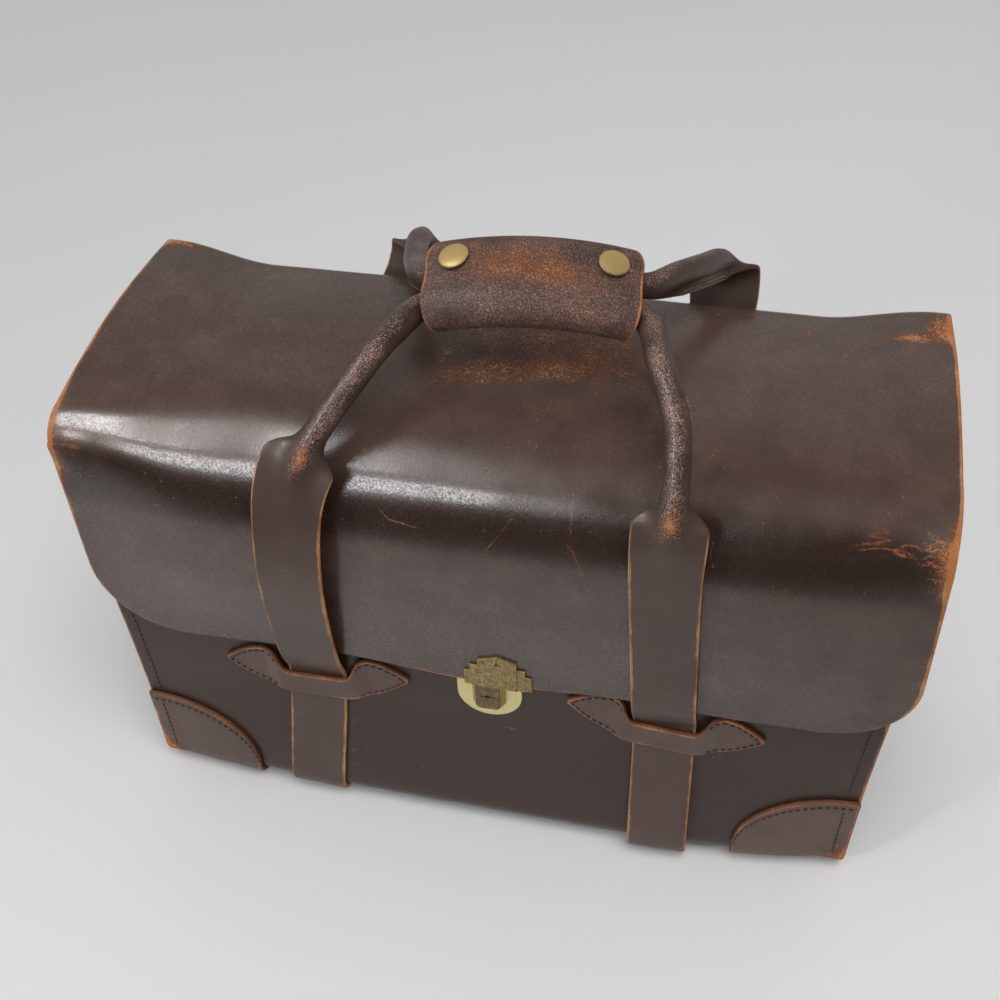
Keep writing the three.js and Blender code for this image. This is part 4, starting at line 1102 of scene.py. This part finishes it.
def leather(name, bloom_and_sheen=0.0, speckle=0.0, chalk=0.8, dryness=0.0, warmth=0.0, dark=0.0, ruddy=0.0,
            polish=0.62, coat=1.0, pale=0.0, fineness=1.0, scratches=()):
    """Waxed brown leather: grain, scuffs, scratches, cracked folds and worn cut edges."""
    graph = Graph(bpy.data.materials.new(name))
    edge, raw, flesh = graph.mark("edge"), graph.mark("raw"), graph.mark("flesh")
    scuff, rub, flare, crack, wax, grained = (
        graph.mark(key) for key in ("scuff", "rub", "flare", "crack", "wax", "grained"))
    broad = graph.noise(9, 3)
    patch = graph.noise(55, 5, 0.6)
    fleck = graph.noise(620, 4, 0.65)
    grit = graph.noise(1900, 2, 0.6)
    pebble = graph.node("TexVoronoi", None, {"Vector": graph.place, "Scale": GRAIN * fineness},
                        out="Distance")
    grain = pebble.twin("Color")
    speck = fleck * 0.5 + grit * 0.5

    # Waxed tone; painted shade darkens the band below the bend, the flap's front below it and the
    # leather under the grip, and handled leather is darker
    tone = graph.mix((broad * 0.45 + patch * 0.45 + speck * 0.1 + warmth).ramp(0.34, 0.68),
                     colour("deep"), colour("brown"))
    if ruddy:
        tone = graph.mix((patch * 0.5 + fleck * 0.5).ramp(0.3, 0.7) * ruddy, tone, colour("rust"))
    shade = (wax - patch * 0.3).ramp(0.0, 0.9).most(rub)
    shade = shade.most(crack.ramp(0.4, 0.9) * 0.8).most(dark)
    tone = graph.mix(shade * 0.9, tone, colour("black_brown"))

    # Dry speckle, which on the grip is also a painted granular sheen
    dust_and_sheen = grain * 0.8 + (patch - 0.5) * 0.5 + (fleck - 0.5) * 0.12 + rub * 0.3 + bloom_and_sheen
    dust_and_sheen = dust_and_sheen.ramp(0.65, 0.77) * (rub + speckle).least(1.0)
    tone = graph.mix(dust_and_sheen * chalk, tone, colour("rose"))

    # Scuffs: rubbed rust, then bare leather
    rusty = (scuff * 1.4 + flare * 0.8 + (patch - 0.5) * 0.9 + (fleck - 0.5) * 0.8).ramp(0.2, 0.95)
    tone = graph.mix(rusty * 0.85, tone, colour("rust"))
    hot = graph.mix((grit * 0.5 + patch * 0.5).ramp(0.47, 0.7), colour("orange"), colour("tan"))
    bare = grain * 0.45 + speck * 0.45 + scuff * 0.27 + flare * 0.3 + (patch - 0.5) * 0.3
    bare = bare.ramp(0.67, 0.78) * (0.02 + grained.most(scuff).most(flare) * 0.98)
    bare = bare.most((scuff + (speck - 0.5) * 1.6 + (patch - 0.5) * 0.6).ramp(0.82, 1.0))
    tone = graph.mix(bare, tone, hot)

    # Cracks and flakes of the folds, and pinpricks
    vein = abs(graph.noise(110, 2, 0.5, graph.stretch((0.2, 1.0, 1.4))) - 0.5)
    cracked = crack.ramp(0.05, 0.5) * (1 - vein.ramp(0.0, 0.03))
    cracked = cracked * (patch * 0.6 + fleck * 0.6).ramp(0.48, 0.64)
    flakes = graph.noise(560, 2, 0.6, graph.stretch((0.45, 1.0, 1.0))).ramp(0.53, 0.6)
    cracked = cracked.most(crack.ramp(0.45, 0.95) * flakes)
    flaked = graph.mix(fleck.ramp(0.35, 0.6), colour("rust"), colour("orange"))
    tone = graph.mix(cracked * 0.8, tone, flaked)
    pins = grain.ramp(0.94, 0.955) * grained * patch.ramp(0.42, 0.6)
    tone = graph.mix(pins * 0.8, tone, colour("tan"))

    # Scratches: fine ones all over, and those that are drawn
    line = abs(graph.noise(24, 2, 0.5, graph.stretch((1.0, 0.35, 0.8))) - 0.5)
    other = abs(graph.noise(31, 2, 0.5, graph.stretch((0.4, 1.0, 1.1))) - 0.47)
    line, other = 1 - line.ramp(0.0, 0.0022), 1 - other.ramp(0.0, 0.002)
    scratch = line.most(other) * (patch * 0.6 + fleck * 0.5).ramp(0.6, 0.72) * 0.45
    if scratches:
        split = graph.node("SeparateXYZ", None, {0: graph.place}, out="X")
        across, depth, up = split, split.twin("Y"), split.twin("Z")
        wander = (graph.noise(260, 2) - 0.5) * 0.0016
        drawn = [stroke(across + wander, up + wander, *row) for row in scratches]
        deepest = drawn[0]
        for mark in drawn[1:]:
            deepest = deepest.most(mark)
        broken = (grain * 0.4 + patch * 0.6).ramp(0.42, 0.58)
        scratch = scratch.most(deepest * (1 - depth.ramp(-0.05, -0.04)) * broken * 0.6)
    tone = graph.mix(scratch, tone, graph.mix(patch.ramp(0.4, 0.6), colour("orange"), colour("tan")))

    # Chafed and cut edges, and the flesh side
    chafe = (speck * 0.5 + patch * 0.5 - edge * (0.2 - scuff * 0.12) + scuff * 0.3).ramp(0.4, 0.52)
    tone = graph.mix(chafe * 0.9, tone, hot)
    worn = (fleck * 0.4 + patch * 0.6 + scuff * 0.2 + pale).ramp(0.4, 0.56)
    cut = graph.mix(worn, colour("rust"), colour("orange"))
    frayed = (grit * 0.5 + patch * 0.5 + scuff * 0.1 + pale).ramp(0.56, 0.7)
    cut = graph.mix(frayed, cut, colour("tan"))
    tone = graph.mix(raw, tone, cut)
    nap = graph.mix((fleck + patch * 0.5).ramp(0.6, 0.95), colour("brown"), colour("suede"))
    tone = graph.mix(flesh, tone, nap)

    # Gloss, which breaks up on the grain
    dull = bare.most(chafe).most(raw).most(flesh)
    glint = grain.ramp(0.3, 0.75)
    rough = 0.17 + dryness + patch * 0.08 + grain * 0.1 + dull * 0.35
    rough = rough + dust_and_sheen * 0.2 + rub * 0.12 + scuff * 0.4
    gloss = (1 - dull.most(scuff)) * (0.5 + grained * (glint * 1.1 - 0.45))
    fine = (pebble * 0.9 + grit * 0.5 + fleck * 0.7) * (0.3 + grained * 0.65)
    height = fine + patch * 1.2 - cracked * 0.5
    return graph.finish({
        "Base Color": tone,
        "Roughness": rough,
        "Normal": graph.bump(height, GRAIN_HEIGHT),
        "Specular IOR Level": polish,
        "Coat Weight": gloss * (polish * coat),
        "Coat Roughness": 0.14,
    })


def thread(name, tone):
    """Waxed twisted thread."""
    graph = Graph(bpy.data.materials.new(name))
    fibre = graph.noise(2600, 2)
    worn = graph.noise(60, 3)
    shade = graph.mix((fibre * 0.6 + worn * 0.4).ramp(0.35, 0.65), colour("deep"), colour(tone))
    return graph.finish({"Base Color": shade, "Roughness": 0.6 + fibre * 0.2,
                         "Normal": graph.bump(fibre, 0.0002)})


def brass(name, bright, dull, streak, tarnish, uneven=0.5, metal=0.75, flank=0.0):
    """Brass with brushed streaks and tarnish, brighter beyond flank, sideways."""
    graph = Graph(bpy.data.materials.new(name))
    rim = graph.mark("rim")
    streaks = graph.noise(900, 2, 0.5, place=graph.stretch((1.0, 1.0, streak)))
    fine = graph.noise(2200, 2, 0.6)
    blotch = graph.noise(190, 5, 0.65)
    aged = blotch * uneven + fine * 0.25 + streaks * (0.9 - uneven) + rim * 0.35 + tarnish
    if flank:
        side = graph.node("SeparateXYZ", None, {0: graph.place}, out="X") - PLATE_X * MM
        aged = aged - abs(side).ramp(flank * MM, (flank + 0.8) * MM) * 0.45
    aged = aged.ramp(0.45, 0.95)
    tone = graph.mix(aged, colour(bright), colour(dull))
    return graph.finish({
        "Base Color": tone,
        "Metallic": metal - aged * 0.3,
        "Roughness": 0.4 + aged * 0.2 + fine * 0.12,
        "Normal": graph.bump(streaks * 0.7 + fine * 0.4 - aged * 0.3, 0.0001, 0.7),
    })


FINISHES = {
    "case_leather": (leather, {"polish": 0.52, "coat": 1.5, "scratches": FLAP_SCRATCHES}),
    "panel_leather": (leather, {"dryness": 0.13, "warmth": -0.2, "dark": 0.6, "polish": 0.3}),
    "strap_leather": (leather, {
        "bloom_and_sheen": -0.12, "speckle": 0.06, "chalk": 0.95, "dryness": 0.19, "dark": 0.25, "ruddy": 0.1,
        "polish": 0.5, "coat": 0.35, "pale": 0.1, "fineness": 1.7}),
    "trim_leather": (leather, {
        "speckle": 0.06, "dryness": 0.18, "ruddy": 0.25, "polish": 0.45, "pale": -0.1}),
    # The grip's pale speckle is partly a painted granular sheen
    "grip_leather": (leather, {
        "bloom_and_sheen": -0.02, "speckle": 0.5, "chalk": 0.62, "dryness": 0.33, "ruddy": 0.7, "polish": 0.5,
        "coat": 0.1, "fineness": 1.6}),
    "dark_thread": (thread, {"tone": "thread_dark"}),
    "light_thread": (thread, {"tone": "thread_light"}),
    "plate_brass": (brass, {
        "bright": "brass", "dull": "old_brass", "streak": 0.04, "tarnish": -0.08, "uneven": 0.4}),
    "snap_brass": (brass, {
        "bright": "old_brass", "dull": "dull_brass", "streak": 1.0, "tarnish": -0.2, "uneven": 0.4,
        "metal": 0.5}),
    "hasp_brass": (brass, {
        "bright": "old_brass", "dull": "dull_brass", "streak": 0.5, "tarnish": 0.15, "uneven": 0.3}),
    "slide_brass": (brass, {
        "bright": "old_brass", "dull": "dull_brass", "streak": 0.3, "tarnish": 0.3,
        "flank": SLIDE_WIDTH / 2}),
}


def finish(name):
    """The named finish, made once."""
    make, settings = FINISHES[name]
    return bpy.data.materials.get(name) or make(name, **settings)


# Brass pieces


def snap_shape(seat, axis):
    """Domed cap with a rolled rim, turned about its axis."""
    radius = sizes().snap / MM / 2
    profile = np.array(SNAP_PROFILE)
    sides = 56
    angle = np.arange(sides) * 2 * math.pi / sides
    first = unit(np.cross(axis, (0, 1, 0)))
    second = np.cross(axis, first)
    ring = np.cos(angle)[:, None] * first + np.sin(angle)[:, None] * second
    points = seat + profile[:, None, :1] * radius * ring + profile[:, None, 1:] * axis
    index = np.arange(points.shape[0] * sides).reshape(-1, sides)
    after = np.roll(index, -1, axis=1)
    faces = np.stack([index[:-1], after[:-1], after[1:], index[1:]], -1).reshape(-1, 4)
    caps = []
    for end in (index[0], index[-1]):
        caps.extend((end[0], end[k], end[k + 1], end[k + 2]) for k in range(1, sides - 2, 2))
    rim = np.repeat(smooth(profile[:, 0], 0.82, 1.0), sides)
    return points.reshape(-1, 3), np.concatenate([faces, np.array(caps)]), {"rim": rim}


def brass_shape(outlines, thickness, bevel):
    """Flat brass piece with rounded edges: outlines in x and z, thickness towards the front."""
    curve = bpy.data.curves.new("outline", "CURVE")
    curve.dimensions = "2D"
    curve.fill_mode = "BOTH"
    curve.extrude = thickness / 2 - bevel
    curve.bevel_depth = bevel
    curve.bevel_resolution = 2
    curve.offset = -bevel
    for outline in outlines:
        spline = curve.splines.new("POLY")
        spline.points.add(len(outline) - 1)
        spline.points.foreach_set("co", [v for x, z in outline for v in (x, z, 0, 1)])
        spline.use_cyclic_u = True
    holder = bpy.data.objects.new("outline", curve)
    bpy.context.scene.collection.objects.link(holder)
    view = bpy.context.evaluated_depsgraph_get()
    mesh = bpy.data.meshes.new_from_object(holder.evaluated_get(view))
    points = np.array([tuple(v.co) for v in mesh.vertices])
    mesh.calc_loop_triangles()
    tris = np.array([tuple(t.vertices) for t in mesh.loop_triangles])
    bpy.data.objects.remove(holder)
    bpy.data.meshes.remove(mesh)
    bpy.data.curves.remove(curve)
    placed = np.stack([points[:, 0], -(points[:, 2] + thickness / 2), points[:, 1]], -1)
    return placed, np.concatenate([tris, tris[:, 2:]], 1), {}


def add_brass(name, shape, node, body="case"):
    """A brass piece: triangles, shaded flat where its faces meet at an angle."""
    points, faces, _ = shape
    mesh = place_mesh(name, points, faces[:, :3])
    mesh.set_sharp_from_angle(angle=math.radians(35))
    place_piece(mesh, finish(name), [node], body)


def circle(x, z, radius, sides=28):
    return [(x + radius * math.cos(a), z + radius * math.sin(a))
            for a in np.arange(sides) * 2 * math.pi / sides]


# Studio


def stage_piece(name, points, faces, material):
    """A flat piece of the studio, which isn't part of the case."""
    mesh = bpy.data.meshes.new(name)
    mesh.from_pydata(points, [], faces)
    mesh.materials.append(material)
    thing = bpy.data.objects.new(name, mesh)
    bpy.context.scene.collection.objects.link(thing)
    return thing


def add_floor():
    graph = Graph(bpy.data.materials.new("studio_floor"))
    haze = graph.noise(3, 2)
    tone = graph.mix(haze * 0.08, colour("floor"), (0.5, 0.5, 0.51, 1))
    material = graph.finish({
        "Base Color": tone, "Roughness": 0.75 + haze * 0.1, "Specular IOR Level": 0.0})
    ticks = np.linspace(-FLOOR_REACH, FLOOR_REACH, FLOOR_TICKS)
    points = [(x, y, FLOOR_Z) for y in ticks for x in ticks]
    index = np.arange(FLOOR_TICKS ** 2).reshape(FLOOR_TICKS, FLOOR_TICKS)
    faces = np.stack([index[:-1, :-1], index[:-1, 1:], index[1:, 1:], index[1:, :-1]], -1)
    stage_piece("floor", points, faces.reshape(-1, 4).tolist(), material)


def add_card():
    """Dark card on the floor in front, which only reflections see."""
    graph = Graph(bpy.data.materials.new("dark_card"))
    ahead = graph.node("SeparateXYZ", None, {0: graph.place}, out="Y")
    clear = ahead.ramp(-0.46, -0.24) * (1 - ahead.twin("X").ramp(0.0, 0.3) * 0.4)
    material = graph.finish({
        "Base Color": (0.01, 0.01, 0.01, 1), "Roughness": 0.9, "Alpha": 1 - clear})
    far, near = CARD_Y
    points = [(-CARD_X, far, CARD_Z), (CARD_X, far, CARD_Z), (CARD_X, near, CARD_Z),
              (-CARD_X, near, CARD_Z)]
    card = stage_piece("dark_card", points, [(0, 1, 2, 3)], material)
    card.visible_camera = card.visible_shadow = card.visible_diffuse = False


def add_sky():
    """Soft light from above for the floor, and a dim room for reflections."""
    world = bpy.data.worlds.new("studio")
    sky = Graph(world)
    ahead = sky.node("SeparateXYZ", None, {0: sky.place.twin("Generated")}, out="Y")
    mirrored = sky.node("LightPath", out="Is Glossy Ray")
    seen = mirrored.twin("Is Camera Ray")
    dim = 0.015 + ahead.ramp(0.25, 0.8) * 0.40
    soft = 0.24 + ahead.twin("Z").ramp(0.05, 0.75) * 0.60
    strength = seen * 0.62 + (1 - seen) * (mirrored * dim + (1 - mirrored) * soft)
    light = sky.node("Background", None, {"Strength": strength})
    sky.node("OutputWorld", None, {"Surface": light})
    bpy.context.scene.world = world


def add_light(name, place, target, size, watts, spread, mirrored):
    light = bpy.data.lights.new(name, "AREA")
    light.shape = "RECTANGLE"
    light.size, light.size_y = size
    light.energy = watts
    light.spread = math.radians(spread)
    lamp = bpy.data.objects.new(name, light)
    lamp.location = place
    lamp.visible_glossy = mirrored
    lamp.visible_diffuse = not mirrored
    aim = Vector(target) - Vector(place)
    lamp.rotation_euler = aim.to_track_quat("-Z", "Y").to_euler()
    bpy.context.scene.collection.objects.link(lamp)


def add_camera():
    camera = bpy.data.cameras.new("camera")
    camera.sensor_width = SENSOR
    camera.lens = LENS
    camera.clip_start = 0.01
    eye = bpy.data.objects.new("camera", camera)
    turn = Matrix((EYE_RIGHT, EYE_UP, EYE_BACK)).transposed().to_4x4()
    eye.matrix_world = Matrix.Translation(EYE + Vector((0, SHIFT_Y * MM, 0))) @ turn
    bpy.context.scene.collection.objects.link(eye)
    bpy.context.scene.camera = eye


# Operators


class CASE_OT_stage(bpy.types.Operator):
    """Pale floor, soft light and the camera"""

    bl_idname = "case.stage"
    bl_label = "Stage"

    def execute(self, context):
        context.scene.view_settings.view_transform = "Standard"
        add_floor()
        add_card()
        add_sky()
        for row in LIGHTS:
            add_light(*row)
        add_camera()
        return {"FINISHED"}


class CASE_OT_front(bpy.types.Operator):
    """Front panel and base"""

    bl_idname = "case.front"
    bl_label = "Front panel"

    def execute(self, context):
        grid = support(front_grid())
        marks = {"scuff": spots(grid, FRONT_WEAR)}
        shape = leather_sheet(grid, sizes().hide / MM, marks)
        add_piece("front_leather", shape, finish("panel_leather"), ["front_and_base"])
        return {"FINISHED"}


class CASE_OT_flap(bpy.types.Operator):
    """Back and flap in one hide"""

    bl_idname = "case.flap"
    bl_label = "Back and flap"

    def execute(self, context):
        grid = relaxed(flap_grid())
        loose = smooth(grid[..., 2], 230, 275)
        swell = 0.9 * ripple(grid, 85.0) + 0.35 * ripple(grid + 500, 32.0)
        grid = support(grid + face_normals(grid) * (loose * swell)[..., None])
        height, ahead = grid[..., 2], grid[..., 1] < 0
        # Painted shade: a dark band below the bend, and the flap's front below the bend painted
        # darker than its top
        band = smooth(height, 222, 246) * (1 - smooth(height, 264, 282)) * ahead
        front = 0.45 * (1 - smooth(height, 230, 262)) * ahead
        # Painted shadow under the grip, over leather that handling has darkened there
        handled = np.minimum(2 * spots(grid, [UNDER_GRIP]), 1)
        marks = {"scuff": spots(grid, FLAP_WEAR), "crack": spots(grid, FLAP_CRACKS),
                 "wax": np.maximum(np.maximum(band, front), handled),
                 "grained": smooth(height, 225, 265)}
        shape = leather_sheet(grid, sizes().hide / MM, marks)
        add_piece("flap_leather", shape, finish("case_leather"), ["back_and_flap"])
        return {"FINISHED"}


class CASE_OT_ends(bpy.types.Operator):
    """End walls with their flanges"""

    bl_idname = "case.ends"
    bl_label = "End walls"

    def execute(self, context):
        for side, sign in (("left", -1), ("right", 1)):
            sheets = [leather_sheet(support(grid), sizes().lining / MM)
                      for grid in gusset_grids(sign)]
            add_piece("end_leather_" + side, joined(sheets), finish("panel_leather"),
                      ["gusset_" + side])
        return {"FINISHED"}


class CASE_OT_patches(bpy.types.Operator):
    """Corner patches"""

    bl_idname = "case.patches"
    bl_label = "Corner patches"

    def execute(self, context):
        for place, face in (("front", -1), ("back", 1)):
            for side, sign in (("left", -1), ("right", 1)):
                grid = support(patch_grid(sign, face))
                foot = (sign * 214, face * 78, 12, 12, 14, 16, 1.0)
                lower = (sign * 190, face * 80, 8, 40, 14, 7, 0.35)
                marks = {"scuff": spots(grid, (foot, lower)), "crack": spots(grid, (foot,))}
                shape = leather_sheet(grid, sizes().strap / MM, marks)
                name = place + "_" + side
                add_piece("patch_leather_" + name, shape, finish("trim_leather"),
                          ["corner_patch_" + name])
        return {"FINISHED"}


class CASE_OT_keepers(bpy.types.Operator):
    """Leaf-shaped strap keepers"""

    bl_idname = "case.keepers"
    bl_label = "Strap keepers"

    def execute(self, context):
        for name, strap in STRAPS.items():
            face = -1 if name.startswith("front") else 1
            shape = leather_sheet(support(keeper_grid(strap, face)), sizes().strap / MM)
            add_piece("keeper_leather_" + name, shape, finish("trim_leather"),
                      ["keeper_" + name])
        return {"FINISHED"}


class CASE_OT_handles(bpy.types.Operator):
    """Straps that roll into the carrying handles, with their sewn fins"""

    bl_idname = "case.handles"
    bl_label = "Handles"

    def execute(self, context):
        for name, face in (("front", -1), ("back", 1)):
            shape, seam = handle_shape(name, face)
            add_piece("handle_leather_" + name, shape, finish("strap_leather"),
                      ["handle_" + name])
            add_piece("handle_thread_" + name, seam, finish("light_thread"))
        return {"FINISHED"}


class CASE_OT_grip(bpy.types.Operator):
    """Leather wrap that joins the handles, and its snap caps"""

    bl_idname = "case.grip"
    bl_label = "Grip"

    def execute(self, context):
        grid = support(grip_grid())
        worn = spots(grid, GRIP_WEAR)
        marks = {"scuff": worn * 0.85, "rub": 0.5 + 0.3 * worn, "grained": np.ones(grid.shape[:2])}
        shape = leather_sheet(grid, sizes().lining / MM, marks)
        add_piece("grip_leather", shape, finish("grip_leather"), ["grip"])
        lean = np.array(Matrix.Rotation(math.radians(-SNAP_LEAN), 3, "X"))
        for side, sign in (("left", -1), ("right", 1)):
            turn = sign * SNAP_SPREAD / GRIP_ARCH
            seat, normal = grip_place(turn, SNAP_BACK, GRIP_HIGH / 2 + 2 * GAP)
            add_piece("snap_cap_" + side, snap_shape(seat, lean @ normal), finish("snap_brass"),
                      ["snap_" + side])
        return {"FINISHED"}


class CASE_OT_lock(bpy.types.Operator):
    """Lock plate, thumb slide and hasp"""

    bl_idname = "case.lock"
    bl_label = "Lock"

    def execute(self, context):
        half = PLATE_WIDTH / 2
        foot = [(half * math.cos(a), PLATE_LOW + half + half * math.sin(a))
                for a in np.linspace(math.pi, 2 * math.pi, 40)]
        outline = [(half, PLATE_HIGH), (-half, PLATE_HIGH), *foot]
        plate = brass_shape([outline], PLATE_THICK, PLATE_BEVEL)
        plate[0][:] += (PLATE_X, FRONT_Y - GAP, 0)
        add_brass("plate_brass", plate, "lock_plate")

        half = SLIDE_WIDTH / 2
        side, low = half - SLIDE_CORNER, SLIDE_LOW + SLIDE_CORNER
        corner = [(side + SLIDE_CORNER * math.cos(a), low + SLIDE_CORNER * math.sin(a))
                  for a in np.linspace(-math.pi / 2, 0, 8)]
        body = [(-half, SLIDE_HIGH), *((-x, z) for x, z in corner[::-1]), *corner, (half, SLIDE_HIGH)]
        middle = (SLIDE_LOW + SLIDE_HIGH) / 2
        turns = np.linspace(KEYHOLE["turn"], math.pi - KEYHOLE["turn"], 9)
        reach, slit, radius = KEYHOLE["half"], KEYHOLE["slit"], KEYHOLE["radius"]
        upper = [(reach, slit), *((radius * math.cos(a), radius * math.sin(a)) for a in turns),
                 (-reach, slit)]
        hole = [(x, middle + z) for x, z in upper] + [(-x, middle - z) for x, z in upper]
        slide = brass_shape([body, hole], SLIDE_THICK, SLIDE_BEVEL)
        slide[0][:, 0] *= 1 + 2 * SLIDE_SLOPE * (1 + slide[0][:, 1] / SLIDE_THICK) / SLIDE_WIDTH
        slide[0][:] += (PLATE_X, FRONT_Y - GAP - PLATE_THICK - GAP, 0)
        add_brass("slide_brass", slide, "lock_slide", "slide")

        layers = []
        for thick, right in HASP_LAYERS:
            outlines = [[*right, *((-x, z) for x, z in right[::-1] if x)]]
            if thick == HASP_THICK:
                outlines.append(circle(0, *HASP_PIN))
            layers.append(brass_shape(outlines, thick, HASP_BEVEL))
        points, faces, values = joined(layers)
        _, _, bend_arc, edge = hide_profile(np.array([HASP_X / BASE_HALF_WIDTH]))
        run = unit(bend_arc(1) - edge)[0]
        lean = np.array(Matrix.Rotation(math.atan2(-run[0], run[1]), 3, "X"))
        points = points @ lean.T + (HASP_X, edge[0, 0] - GAP, HASP_FOOT)
        add_brass("hasp_brass", (points, faces, values), "lock_hasp")
        return {"FINISHED"}


class CASE_OT_stitching(bpy.types.Operator):
    """Dark thread of the side seams, patches and keepers"""

    bl_idname = "case.stitching"
    bl_label = "Stitching"

    def execute(self, context):
        rows = []
        top = LIFT + PATCH_HEIGHT
        for face, y, high in ((-1, FRONT_Y, SEAM_TOP["front"]), (1, BACK_Y, SEAM_TOP["back"])):
            z = np.linspace(top + 2, high, 60)
            for sign in (-1, 1):
                path = bow_out(tucked(side_line(sign, y, z)))
                rows.append(thread_row(path, (0, face, 0)))
        add_piece("seam_thread", joined(rows), finish("dark_thread"))

        rows = []
        for face in (-1, 1):
            for sign in (-1, 1):
                grid = patch_grid(sign, face)
                if sign * face < 0:
                    grid = grid[:, ::-1]
                path = inset_path(grid, PATCH_SEAM)
                rows.append(thread_row(path[1:], (0, face, 0)))
                z = np.linspace(LIFT + BASE_RADIUS, top - 6, 24)
                y = face * (BACK_Y + GAP + sizes().strap / MM)
                rows.append(thread_row(bow_out(side_line(sign, y, z)), (0, face, 0)))
        add_piece("patch_thread", joined(rows), finish("dark_thread"))

        rows = []
        reach = np.linspace(*KEEPER_SEWN, 40)
        low, high = keeper_outline(reach)
        inset = 0.6 * smooth(reach, 40, 51)
        upper = np.stack([reach, high - KEEPER_SEAM - inset], -1)
        lower = np.stack([reach, low + KEEPER_SEAM + inset], -1)
        keep = upper[:, 1] - lower[:, 1] > 0.8
        outline = np.concatenate([upper[keep], lower[keep][::-1]])
        for name, strap in STRAPS.items():
            face = -1 if name.startswith("front") else 1
            for sign in (-1, 1):
                path = keeper_point(strap, face, sign * outline[:, 0], outline[:, 1])
                rows.append(thread_row(path, (0, face, 0)))
        add_piece("keeper_thread", joined(rows), finish("dark_thread"))
        return {"FINISHED"}


class CASE_PT_pieces(bpy.types.Panel):
    """Builds the briefcase piece by piece"""

    bl_idname = "CASE_PT_pieces"
    bl_label = "Briefcase"
    bl_space_type = "VIEW_3D"
    bl_region_type = "UI"
    bl_category = "Briefcase"

    def draw(self, context):
        for step in STEPS:
            self.layout.operator(step.bl_idname)
        for group in (context.scene.case_sizes, context.scene.case_colours):
            for key in group.__annotations__:
                self.layout.prop(group, key)


STEPS = (
    CASE_OT_stage, CASE_OT_front, CASE_OT_flap, CASE_OT_ends, CASE_OT_patches, CASE_OT_keepers,
    CASE_OT_handles, CASE_OT_grip, CASE_OT_lock, CASE_OT_stitching,
)
CLASSES = (CaseSizes, CaseColours, *STEPS, CASE_PT_pieces)


def register():
    for item in CLASSES:
        bpy.utils.register_class(item)
    bpy.types.Scene.case_sizes = bpy.props.PointerProperty(type=CaseSizes)
    bpy.types.Scene.case_colours = bpy.props.PointerProperty(type=CaseColours)


def unregister():
    del bpy.types.Scene.case_colours
    del bpy.types.Scene.case_sizes
    for item in reversed(CLASSES):
        bpy.utils.unregister_class(item)


def main():
    register()
    bpy.ops.case.stage()
    bpy.ops.case.front()
    bpy.ops.case.flap()
    bpy.ops.case.ends()
    bpy.ops.case.patches()
    bpy.ops.case.keepers()
    bpy.ops.case.handles()
    bpy.ops.case.grip()
    bpy.ops.case.lock()
    bpy.ops.case.stitching()


if __name__ == "__main__":
    main()
